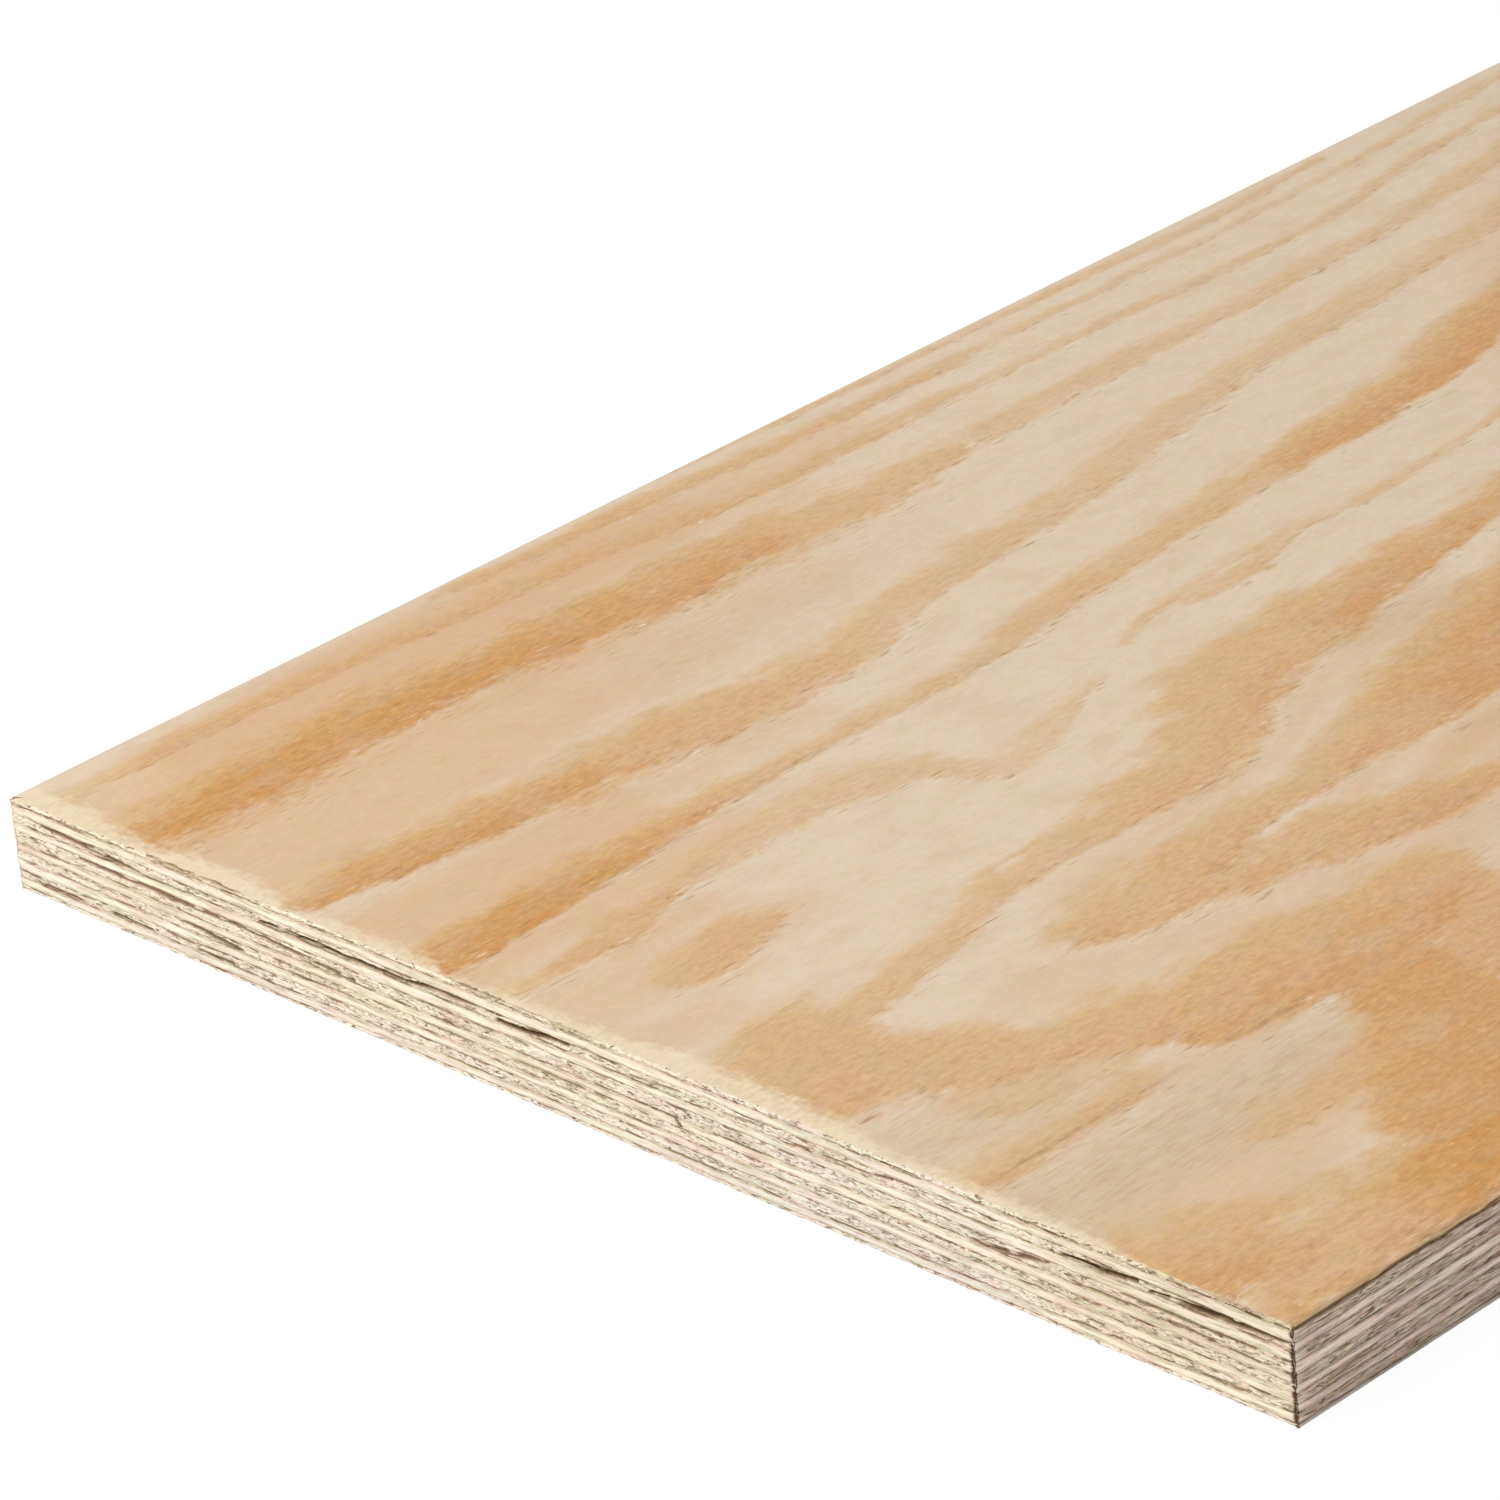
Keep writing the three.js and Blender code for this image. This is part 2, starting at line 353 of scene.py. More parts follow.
# Latewood streaks of the face: depth of colour, softness of the border in millimetres, and the points
# of the middle line. A point is across and along the panel, in millimetres from its front left
# corner, and the half width there.
FACE_STREAKS = [
    # the narrow rings near the left arris, where the veneer cuts them steeply
    (0.26, 1.1, [(3, 352, 0.9), (5, 315, 1.2), (3, 270, 1.0), (2, 210, 1.0), (0, 165, 0.8)]),
    (0.23, 1.4, [(4, 420, 1.3), (9, 362, 1.3), (11, 318, 1.2), (10.5, 270, 1.2), (10, 230, 1.4)]),
    (0.38, 1.8, [(10.6, 236, 1.6), (9, 190, 2.0), (6, 156, 2.0)]),
    (0.44, 1.9, [(6.2, 158, 2.0), (5.4, 140, 2.2), (4.4, 118, 1.7), (3.4, 102, 1.0)]),
    (0.26, 1.7, [(15, 420, 1.3), (19, 365, 1.4), (25, 322, 1.5), (22, 255, 1.3), (21, 215, 1.8)]),
    (0.34, 2.4, [(21, 220, 1.8), (20.4, 180, 2.4), (18.4, 152, 2.4)]),
    (0.44, 2.1, [(17.8, 154, 2.2), (15.6, 135, 2.4), (13.6, 115, 2.4), (12, 92, 2.0), (9.8, 68, 2.0),
                 (9, 30, 2.2), (9.6, -5, 1.8)]),
    (0.25, 2.2, [(24, 412, 2), (33, 370, 3.0), (38, 318, 2.4), (38, 240, 3.4), (38, 214, 4)]),
    (0.38, 4.0, [(38.4, 206, 3), (40, 178, 6.2), (37, 154, 7)]),
    (0.70, 3.8, [(37, 156, 5.0), (35.6, 132, 7.4), (34.8, 108, 6.8)]),
    (0.32, 6.0, [(45, 190, 2.0), (44.6, 165, 2.6), (44, 140, 2.6), (43, 116, 2.6)]),
    (0.96, 5.0, [(35, 122, 4.8), (32.6, 97, 6.1), (30.8, 70, 7), (30.8, 45, 7), (30.8, 22, 6.2),
                 (30.8, -5, 5)]),
    (0.44, 6.0, [(37.6, -5, 3), (37.8, 35, 3.2), (36.8, 74, 1.2), (41, 108, 1.2)]),
    (0.25, 2.8, [(48, 380, 3), (54, 335, 3.2), (58, 285, 4), (60, 262, 3.4), (65, 232, 5),
                 (71, 203, 4.6)]),
    (0.30, 3.4, [(72, 200, 4.0), (75, 163, 4.4), (81.4, 132, 4.8)]),
    (0.46, 4.4, [(82.4, 128, 4.6), (82.4, 106, 6.4), (81, 92, 8.2), (79, 72, 6.2)]),
    (0.64, 5.0, [(79.4, 88, 5.6), (77.8, 62, 5.4)]),
    (0.40, 6.0, [(83.4, 60, 2.2), (85.6, 84, 3), (87, 105, 3), (84.6, 136, 2.4)]),
    (0.78, 4.2, [(78, 66, 4.6), (77, 46, 5.6), (75.4, 30, 6), (73.4, 16, 5), (73.6, 5, 3.4)]),
    (0.64, 3.0, [(72, 352, 3), (84, 306, 6), (92, 272, 5.4), (94, 236, 4.8)]),
    (0.35, 2.8, [(94, 242, 4.8), (96.5, 205, 4), (100, 172, 3.0), (103.6, 148, 2.8), (105.2, 125, 2.0),
                 (104.4, 100, 2.3), (104, 76, 2.8)]),
    (0.62, 3.2, [(104, 80, 1.6), (104.8, 62, 3.0), (105.8, 50, 3.6)]),
    (0.94, 3.2, [(105.8, 52, 3.4), (106, 42, 4.2), (106.2, 25, 5.6), (107.4, 10, 6), (109, -5, 4.6)]),
    # the thin contour round the pale island, and the loop below it
    (0.28, 1.5, [(112, 290, 0.8), (114.5, 268, 1.0), (116, 250, 1.2), (117.5, 238, 1.8),
                 (116.5, 222, 1.0), (115.5, 205, 0.7), (115.5, 186, 0.7), (118, 170, 0.8),
                 (122, 160, 0.7)]),
    (0.20, 2.2, [(128, 146, 0.8), (131, 134, 2.6), (136, 121, 3.2), (137, 111, 3.4)]),
    (0.30, 3.0, [(115.4, 216, 1), (118.8, 197, 3.2), (120, 182, 1.8)]),
    (0.25, 2.6, [(136, 107.5, 2.6), (127, 105.5, 3.6), (121.5, 96, 5.6), (119, 82, 4.8), (118.8, 70, 4.6),
                 (120, 60, 4.6), (121, 49, 2.6)]),
    (0.46, 3.0, [(119.8, 55, 0.9), (122.6, 40, 2.6), (124.8, 30, 3.8), (126.3, 18, 1.8), (127, 8, 1.2),
                 (126.6, -5, 1.4)]),
    (0.38, 3.0, [(143, 47, 3.4), (143, 41, 5.2), (144.6, 30, 5.8), (145.4, 23, 3.6)]),
    # the outer arch of the flame
    (0.60, 3.4, [(134, 262, 1.5), (139, 236, 4.5), (140.8, 216, 5.8), (142.8, 198, 6.6),
                 (144.2, 188, 7.6)]),
    (0.46, 5.2, [(144.4, 190, 8.6), (145.4, 172, 9.6), (149.6, 157, 10), (157, 146, 8.6),
                 (163.4, 136, 7.4), (164.8, 120, 6.2), (166.6, 106, 4)]),
    (0.33, 2.7, [(166, 108, 3.8), (166.2, 92, 3.8), (168, 76, 3.5), (172, 60, 3.7), (175.4, 44, 3.8),
                 (177, 34, 5)]),
    (0.46, 4.8, [(176, 24, 8.4), (185, 14, 15), (186.4, 0, 13.8)]),
    (0.34, 6.0, [(200, 20, 5), (198.6, 8, 4.6)]),
    (0.40, 1.4, [(161, 95, 0.5), (161.5, 80, 0.6)]),
    (0.40, 1.6, [(167, 32, 0.6), (168, 15, 0.8)]),
    (0.46, 4.2, [(194, 21, 9), (204, 32, 9.2), (212.8, 45, 6.8), (218, 60, 9.8)]),
    (0.20, 4.0, [(215, 24, 6), (219, 36, 6), (223, 46, 3)]),
    (0.56, 3.8, [(224.4, 67, 11.4), (224.4, 79, 12.4), (225.6, 93, 12.2), (226.6, 106, 12.4),
                 (226.2, 118, 11.4)]),
    (0.46, 4.0, [(224, 126, 7), (234, 122, 7), (248, 108, 8)]),
    (0.72, 4.0, [(236, 94, 12), (252, 92, 13), (263, 79, 12), (275, 66, 11)]),
    (0.97, 5.0, [(277, 71, 8.8), (286.4, 58, 8.8), (290.6, 47, 9)]),
    (0.46, 5.0, [(291.4, 46, 7.6), (291, 30, 9), (293, 10, 7)]),
    # the inner arch
    (0.60, 3.6, [(150, 262, 2), (163, 216, 5), (173.4, 192, 10.6), (178.8, 174, 10.8)]),
    (0.50, 4.0, [(178.8, 176, 10.8), (181.8, 163, 7.6), (183.4, 150, 4.8), (184.6, 137, 4),
                 (184.6, 122, 4.8), (187, 106, 7.4)]),
    (0.46, 5.0, [(188.8, 106, 8.4), (190.2, 94, 9), (190.4, 84, 7), (189.8, 75, 3.8)]),
    (0.56, 3.4, [(238, 190, 2), (222, 176, 2.5), (210, 164, 3), (208.4, 152, 4.2), (205.6, 142, 6.4),
                 (203.4, 132, 7)]),
    (0.48, 7.0, [(203.4, 134, 7), (201, 122, 7), (198.8, 112, 6.6), (196.6, 100, 6)]),
    # broken figure near the right arris
    (0.42, 4.8, [(232, 42, 1.6), (231.8, 25, 3.6), (232, 14, 4.4), (232, -3, 4.6)]),
    (0.32, 4.5, [(257, 78, 3), (258, 60, 3.6), (258, 44, 3)]),
    (0.60, 6.0, [(277, -3, 9), (278, 7, 9), (283, 15, 8), (292, 10, 6), (297, 3, 4)]),
    (0.34, 6.0, [(270, -3, 2), (269, 10, 4), (273.6, 20, 3.6), (278, 32, 3.6)]),
    # past the flame the same log goes on in wider arches
    (0.50, 3.5, [(255, 150, 3), (262, 190, 7), (272, 240, 8), (276, 300, 6), (270, 360, 9), (264, 430, 7),
                 (268, 520, 5), (272, 610, 5)]),
    (0.62, 2.6, [(286, 104, 4), (291, 160, 4), (294, 230, 3.5), (296, 320, 3), (292, 420, 4),
                 (290, 520, 5), (294, 610, 4)]),
    (0.56, 3.2, [(120, 330, 2), (128, 370, 7), (124, 420, 9), (118, 480, 6), (122, 540, 7),
                 (120, 610, 6)]),
    (0.52, 3.0, [(214, 262, 2), (222, 300, 5), (226, 350, 9), (230, 400, 7), (238, 460, 6), (240, 530, 8),
                 (236, 610, 6)]),
    (0.58, 3.0, [(150, 300, 2.5), (160, 340, 6), (172, 384, 9), (180, 420, 5), (196, 384, 7),
                 (202, 340, 5), (196, 296, 3), (190, 262, 1.5)]),
    (0.42, 2.2, [(178, 340, 3.5), (180, 312, 5), (178, 286, 1.5)]),
    (0.50, 3.0, [(150, 430, 3), (158, 480, 6), (174, 530, 8), (186, 560, 6), (202, 520, 6), (208, 470, 4),
                 (206, 430, 2)]),
    (0.42, 2.4, [(176, 480, 3), (182, 500, 6), (184, 470, 2)]),
    (0.56, 2.6, [(62, 420, 3), (80, 470, 6), (84, 530, 4), (90, 610, 6)]),
    (0.52, 2.4, [(36, 440, 4), (46, 500, 6), (50, 560, 4), (54, 610, 5)]),
    (0.34, 1.8, [(8, 440, 1.6), (20, 500, 2), (24, 610, 2)]),
]

# Where the pale wood between the streaks is warmer, written the same way.
FACE_WARMTH = [
    (0.96, 4.0, [(15, -5, 9.4), (14.2, 40, 10), (13.4, 76, 11), (14.6, 110, 10), (14.6, 126, 10.4),
                 (15.4, 152, 9)]),
    (0.60, 6.0, [(15, 150, 10), (14, 200, 5)]),
    (0.60, 5.0, [(26, 120, 3), (26, 146, 3), (25, 176, 3)]),
    (0.90, 4.0, [(43.4, -5, 4), (43.4, 40, 4), (42.4, 66, 4), (43.6, 90, 5), (43, 112, 4)]),
    (0.60, 4.0, [(99, 176, 3), (100.4, 154, 3)]),
    (0.90, 4.0, [(96, 2, 3), (97, 30, 4), (97.6, 64, 4)]),
    (0.75, 5.0, [(53, -5, 15), (53, 60, 15), (53.5, 84, 12)]),
    (0.56, 7.0, [(54, 70, 14), (55, 112, 12)]),
    (0.40, 8.0, [(53, 100, 13), (54, 150, 7)]),
    (0.86, 5.0, [(90, -5, 8), (91, 62, 7)]),
    (0.50, 5.0, [(91, 60, 7), (94, 108, 4)]),
    (0.85, 6.0, [(116, -5, 6), (115, 40, 5), (112, 70, 3)]),
    (0.80, 5.0, [(131, 24, 4), (130, 44, 4)]),
    (0.55, 6.0, [(138, -5, 12), (140, 30, 9), (143, 55, 4)]),
    (0.60, 9.0, [(190, 210, 20), (208, 165, 10), (216, 135, 9), (246, 112, 10)]),
    (0.62, 9.0, [(268, 8, 16), (263, 36, 12), (255, 66, 8)]),
    (0.60, 5.0, [(236, 66, 3), (233, 46, 4)]),
    (0.45, 4.0, [(190, 160, 2.4), (192, 140, 3)]),
    (0.40, 5.0, [(152, 36, 2), (152, 24, 3)]),
    (0.60, 5.0, [(236, 119, 4), (245, 112, 6)]),
    (0.90, 5.0, [(196, 215, 7), (196, 172, 6), (199, 152, 3)]),
    (0.55, 5.0, [(158, -5, 8), (158, 20, 5)]),
    (0.50, 5.0, [(156, 205, 6), (158, 175, 4), (168, 154, 3), (172.5, 138, 2.4), (174, 112, 3),
                 (177, 84, 4)]),
    (0.45, 6.0, [(198, 58, 9), (204, 84, 6), (208, 110, 5), (212, 132, 4)]),
    (0.45, 12.0, [(40, 430, 30), (70, 340, 16), (110, 290, 6)]),
    (0.60, 16.0, [(250, 200, 20), (210, 400, 40), (220, 610, 30)]),
    (0.60, 16.0, [(40, 470, 30), (60, 610, 30)]),
]

# Where the pale wood is greyer.
FACE_GREYNESS = [
    (0.60, 9.0, [(247, -5, 10), (247, 45, 10), (243, 78, 5)]),
    (0.50, 9.0, [(213, -5, 9), (222, 30, 8)]),
    (0.22, 8.0, [(58, 104, 9), (57, 172, 8)]),
    (0.40, 6.0, [(154, 210, 6), (156, 186, 4)]),
]

# Where light has bleached the face.
FACE_BLEACH = [
    (0.30, 10.0, [(6, -5, 13), (10, 12, 9)]),
]

# Single dark lines, where the year's growth stopped and shows as a hair's breadth of brown.
FACE_LINES = [
    (0.75, 0.5, [(233.2, 50, 0.1), (232.8, 28, 0.3), (233.6, 3, 0.35)]),
    (0.45, 0.5, [(233.5, 86, 0.2), (234, 70, 0.4), (232.5, 57, 0.2)]),
    (0.35, 0.5, [(109.5, 84, 0.1), (108.8, 62, 0.3), (111, 36, 0.3), (113.5, 12, 0.1)]),
    (0.30, 0.5, [(38.5, 104, 0.2), (38, 88, 0.4), (38.5, 74, 0.2)]),
    (0.45, 0.5, [(80.8, 42, 0.2), (79.8, 30, 0.4), (78.6, 18, 0.2)]),
    (0.42, 0.5, [(106, 98, 0.2), (106.4, 84, 0.4), (106.8, 72, 0.2)]),
    (0.45, 0.5, [(108.8, 56, 0.2), (109.8, 46, 0.4), (111.2, 36, 0.3)]),
    (0.30, 0.4, [(182, 84, 0.2), (183, 74, 0.3), (183, 66, 0.1)]),
    (0.30, 0.4, [(191, 76, 0.2), (191.5, 68, 0.3), (192, 60, 0.1)]),
    (0.26, 0.5, [(166, 34, 0.2), (167.5, 22, 0.4), (168, 12, 0.2)]),
    (0.30, 0.4, [(250, 92, 0.1), (250.5, 80, 0.2), (251, 66, 0.1)]),
    (0.26, 0.4, [(240, 58, 0.1), (240.5, 44, 0.3), (241, 30, 0.1)]),
    (0.24, 0.4, [(264, 66, 0.1), (264.5, 54, 0.3), (266, 40, 0.1)]),
    (0.30, 0.4, [(285, 44, 0.2), (286, 30, 0.3), (286, 18, 0.1)]),
    (0.30, 0.4, [(294, 50, 0.2), (295, 36, 0.3), (295, 22, 0.1)]),
]


# How far from an end the face is surely frayed: places across the panel, and reaches, in millimetres.
END_FRAY = [(0, 6.4), (17, 5.8), (24, 4.6), (37, 3.0), (42, 4.6), (60, 5.6), (67, 3.6), (72, 1.6),
            (77, 1.2), (81, 3.2), (100, 3.4), (108, 2.8), (113, 0.8), (118, 1.0), (124, 2.8), (150, 3.2),
            (163, 6.0), (184, 6.0), (202, 4.8), (212, 2.6), (226, 2.8), (245, 3.0), (258, 2.4),
            (266, 0.0), (272, -1.6), (286, -1.8), (294, -1.8), (300, -1.6)]


def spline_points(points):
    """A smooth line through given points, as rows of x, y and half width."""
    steps = 8
    control = np.array(points, dtype=float)
    padded = np.vstack([2 * control[0] - control[1], control, 2 * control[-1] - control[-2]])
    t = np.linspace(0, 1, steps, endpoint=False)[:, None]
    pieces = []
    for before, start, end, after in zip(padded, padded[1:], padded[2:], padded[3:]):
        slope = end - before
        bend = 2 * before - 5 * start + 4 * end - after
        twist = 3 * start - before - 3 * end + after
        pieces.append(0.5 * (2 * start + slope * t + bend * t ** 2 + twist * t ** 3))
    return np.vstack(pieces + [control[-1:]])


def streak_field(x, y, points):
    """Distance outside a streak, in the points' own unit and negative inside, and the side of it.

    The side goes from -1 at the streak's left border, where x is lower, to 1 at its right one.
    """
    line = spline_points(points)
    nearest = np.full(x.shape, 1e9)
    side = np.zeros(x.shape)
    for start, end in zip(line, line[1:]):
        span = end[:2] - start[:2]
        share = ((x - start[0]) * span[0] + (y - start[1]) * span[1]) / (span @ span)
        share = np.clip(share, 0, 1)
        half = start[2] + share * (end[2] - start[2])
        off_x = x - start[0] - share * span[0]
        off_y = y - start[1] - share * span[1]
        outside = np.hypot(off_x, off_y) - half
        closer = outside < nearest
        nearest = np.where(closer, outside, nearest)
        side = np.where(closer, np.clip(off_x / np.maximum(half, 0.5), -1, 1), side)
    return nearest, side


def face_figure(x, y):
    """Latewood of the face at x, y in millimetres from the front left corner.

    Returns how far outside a streak a place is, in widths of its soft border, the streak's depth of
    colour and the side of it, the warmth and the greyness of the pale wood, how far the face is bleached,
    and the darkness of a growth line.
    """
    edge = np.full(x.shape, FAR)
    weight = np.full(x.shape, 1e-9)
    depth = np.zeros(x.shape)
    side = np.zeros(x.shape)
    for streak_depth, softness, points in FACE_STREAKS:
        outside, streak_side = streak_field(x, y, points)
        # Growth stops sharply, so the right border is crisper than the left one.
        relative = outside / (softness * (0.85 - 0.45 * streak_side))
        edge = np.minimum(edge, relative)
        share = streak_depth ** 2 * np.exp(-2.0 * np.clip(relative, -8, 8))
        weight += share
        depth += share * streak_depth
        side += share * streak_side
    washes = []
    for entries in (FACE_WARMTH, FACE_GREYNESS, FACE_BLEACH, FACE_LINES):
        wash = np.zeros(x.shape)
        for share, softness, points in entries:
            outside, _ = streak_field(x, y, points)
            wash = np.maximum(wash, share * smooth_step(softness, -softness, outside))
        washes.append(wash)
    return np.clip(edge, -4, 4), depth / weight, side / weight, *washes


# ---------------------------------------------------------------- splits in the sawn edges

# Dark slanting rings, open splits and glue-filled gaps in the sawn edges, by edge and veneer: the
# depth of colour and the points of the line. A point is the distance along the edge in millimetres,
# the share of the veneer's thickness from below, and the half width in millimetres.
EDGE_MARKS = {
    (FRONT, "face_veneer"): [
        (0.60, [(4, 0.10, 0.08), (18, 0.14, 0.10), (30, 0.10, 0.08)]),
        (0.40, [(38, 0.08, 0.10), (52, 0.12, 0.12), (64, 0.08, 0.10)]),
        (0.62, [(37, 0.96, 0.04), (50, 0.90, 0.08), (62, 0.96, 0.04)]),
        (0.56, [(113, 0.96, 0.04), (119, 0.90, 0.08), (126, 0.96, 0.04)]),
        (0.40, [(129, 0.96, 0.04), (140, 0.92, 0.06), (150, 0.96, 0.04)]),
        (0.40, [(270, 0.96, 0.04), (284, 0.92, 0.06), (294, 0.96, 0.04)]),
        (0.65, [(78, 0.10, 0.10), (90, 0.10, 0.12)]),
        (0.50, [(118, 0.10, 0.10), (148, 0.12, 0.10)]),
        (0.75, [(210, 0.10, 0.12), (222, 0.08, 0.12)]),
        (0.65, [(240, 0.10, 0.10), (256, 0.10, 0.12)]),
        (0.70, [(270, 0.10, 0.10), (299, 0.12, 0.14)]),
    ],
    (FRONT, "long_band_1"): [
        (0.70, [(8, 0.92, 0.22), (20, 0.62, 0.30), (34, 0.18, 0.32)]),
        (0.60, [(46, 0.92, 0.12), (55, 0.96, 0.16), (64, 0.90, 0.10)]),
        (1.00, [(66, 0.20, 0.20), (72, 0.22, 0.42), (80, 0.26, 0.46), (88, 0.30, 0.34),
                (104, 0.34, 0.14)]),
        (0.95, [(104, 0.45, 0.14), (112, 0.84, 0.28), (124, 0.90, 0.16)]),
        (1.00, [(125, 0.28, 0.22), (132, 0.40, 0.34), (137, 0.80, 0.28), (142, 0.88, 0.18)]),
        (0.50, [(154, 0.20, 0.14), (168, 0.80, 0.16)]),
        (0.45, [(172, 0.14, 0.14), (187, 0.84, 0.16)]),
        (0.60, [(194, 0.20, 0.14), (208, 0.40, 0.16), (216, 0.80, 0.12)]),
        (1.00, [(250, 0.16, 0.18), (258, 0.28, 0.46), (268, 0.74, 0.30)]),
        (1.00, [(271, 0.16, 0.28), (280, 0.36, 0.50), (289, 0.62, 0.44), (298, 0.80, 0.18)]),
    ],
    (FRONT, "long_band_2"): [
        (0.62, [(18, 0.92, 0.22), (30, 0.84, 0.36), (46, 0.86, 0.34), (62, 0.92, 0.20)]),
        (0.65, [(62, 0.88, 0.18), (76, 0.52, 0.30), (89, 0.14, 0.34)]),
        (0.55, [(100, 0.90, 0.10), (118, 0.94, 0.14), (132, 0.90, 0.10)]),
        (0.70, [(233, 0.12, 0.24), (241, 0.36, 0.34), (249, 0.88, 0.26)]),
        (0.65, [(262, 0.86, 0.12), (276, 0.80, 0.20), (292, 0.88, 0.12)]),
        (0.60, [(254, 0.12, 0.12), (268, 0.16, 0.16), (284, 0.12, 0.10)]),
    ],
    (FRONT, "cross_band_3"): [
        (0.90, [(166.2, 0.97, 0.16), (166.9, 0.55, 0.18), (167.6, 0.10, 0.26)]),
    ],
    (FRONT, "long_band_3"): [
        (0.75, [(47, 0.92, 0.22), (53, 0.60, 0.30), (60, 0.14, 0.26)]),
        (0.55, [(106, 0.92, 0.14), (128, 0.94, 0.20), (150, 0.90, 0.12)]),
        (0.55, [(74, 0.06, 0.14), (88, 0.08, 0.16)]),
    ],
    (FRONT, "long_band_4"): [
        (0.65, [(7, 0.16, 0.20), (18, 0.16, 0.32)]),
        (0.72, [(26, 0.16, 0.34), (36, 0.12, 0.20)]),
        (0.60, [(40, 0.80, 0.14), (47, 0.68, 0.16)]),
        (0.65, [(48, 0.14, 0.20), (57, 0.14, 0.28)]),
        (0.60, [(254, 0.12, 0.16), (264, 0.10, 0.18)]),
        (0.60, [(278, 0.12, 0.16), (290, 0.16, 0.16)]),
    ],
    (RIGHT, "face_veneer"): [(0.58, [(0, 0.14, 0.40), (22, 0.12, 0.32), (36, 0.16, 0.44), (300, 0.16, 0.36),
                                     (600, 0.14, 0.36)])],
    (RIGHT, "cross_band_1"): [(0.55, [(0, 0.97, 0.10), (600, 0.97, 0.10)])],
    (LEFT, "face_veneer"): [(0.80, [(0, 0.12, 0.12), (300, 0.10, 0.12), (600, 0.12, 0.12)])],
}


# How far a veneer's ends lean towards the darker of its tones, or below 0 towards a paler colour. Below 0 is
# painted light: the lowest veneers' ends are paler, as the light from the floor shows them. No two veneers
# come off the same log, and the ends are dirtier towards the corner that they are handled by.
END_TONE = {
    "cross_band_1": 0.04, "cross_band_2": 0.0, "cross_band_3": 0.18, "cross_band_4": -0.08,
    "cross_band_5": -0.26, "long_band_1": 0.10, "long_band_2": 0.0, "long_band_3": 0.06,
    "long_band_4": -0.12, "back_veneer": -0.14,
}

# Where along an end it turns darker towards the handled corner, and paler before that as a painted highlight
# of the end's brightest stretch, as the first and the last millimetre of each change, and how far its tone
# then goes.
HANDLED = (234, 262)
HANDLED_TONE = 0.24
PALE_PAINTED_STRETCH = (150, 190)
PALE_PAINTED_STRETCH_TONE = -0.20


def chance_marks(edge, index, length):
    """Splits for an edge that has no list of its own, scattered by chance in its end grain."""
    generator = np.random.default_rng(settings("ply_veneer").seed * 100 + 10 * index + edge)
    marks = []
    for start in np.arange(12, length - 30, 34):
        begin = start + 16 * generator.random()
        reach = 8 + 16 * generator.random()
        low, high = np.sort(generator.random(2))
        share_ends = (low, high) if generator.random() < 0.5 else (high, low)
        width = 0.1 + 0.1 * generator.random()
        depth = (0.3 + 0.6 * generator.random() ** 2) * (1.0 if edge == BACK else 0.5)
        marks.append((depth, [(begin, 0.1 + 0.8 * share_ends[0], width),
                              (begin + reach, 0.1 + 0.8 * share_ends[1], width)]))
    return marks


# ---------------------------------------------------------------- veneers

def edge_stations(length, step):
    """Distances along one edge, closer together near its two corners. The far corner is left out."""
    near = np.array([0.0, 0.12, 0.25, 0.4, 0.6, 0.9, 1.3]) * MM
    count = round((length - 2 * near[-1]) / step)
    middle = np.linspace(near[-1], length - near[-1], count + 1)
    return np.concatenate([near[:-1], middle, length - near[-2:0:-1]])


def walk_round():
    """Columns of the rim's mesh, anticlockwise round the panel from its front left corner.

    Returns a dictionary of arrays: place, outward direction, number of the edge, distance along that
    edge, distance to the nearest corner, and distance walked, with the whole walk's length.
    """
    chosen = settings("ply_veneer")
    corners = np.array([(PANEL_LOW[0], PANEL_LOW[1]), (PANEL_HIGH[0], PANEL_LOW[1]),
                        (PANEL_HIGH[0], PANEL_HIGH[1]), (PANEL_LOW[0], PANEL_HIGH[1])])
    normals = np.array([(0, -1), (1, 0), (0, 1), (-1, 0)])
    walk = {name: [] for name in ("place", "outward", "edge", "along", "corner", "gone")}
    walked = 0.0
    for edge in (FRONT, RIGHT, BACK, LEFT):
        span = corners[(edge + 1) % 4] - corners[edge]
        length = np.hypot(*span)
        along = edge_stations(length, chosen.end_step if edge in (FRONT, BACK) else chosen.side_step)
        outward = np.tile(normals[edge], (len(along), 1))
        outward[0] += normals[edge - 1]
        walk["place"].append(corners[edge] + span * (along / length)[:, None])
        walk["outward"].append(outward)
        walk["edge"].append(np.full(len(along), edge))
        walk["along"].append(along)
        walk["corner"].append(np.minimum(along, length - along))
        walk["gone"].append(walked + along)
        walked += length
    walk = {name: np.concatenate(parts) for name, parts in walk.items()}
    walk["round"] = walked
    return walk


def wander(level, x, y):
    """How far the glue line at a level strays up or down at x, y. The two outer faces don't stray."""
    if level in (0, TOP):
        return np.zeros(np.shape(x))
    chosen = settings("ply_veneer")
    generator = np.random.default_rng(chosen.seed + level)
    total = np.zeros(np.shape(x))
    for length, share in ((140, 0.4), (57, 0.35), (23, 0.2), (9, 0.12)):
        heading, phase = generator.random(2) * 2 * math.pi
        along = (np.cos(heading) * x + np.sin(heading) * y) / (length * MM)
        total = total + share * np.sin(2 * math.pi * along + phase)
    return chosen.glue_wander * total


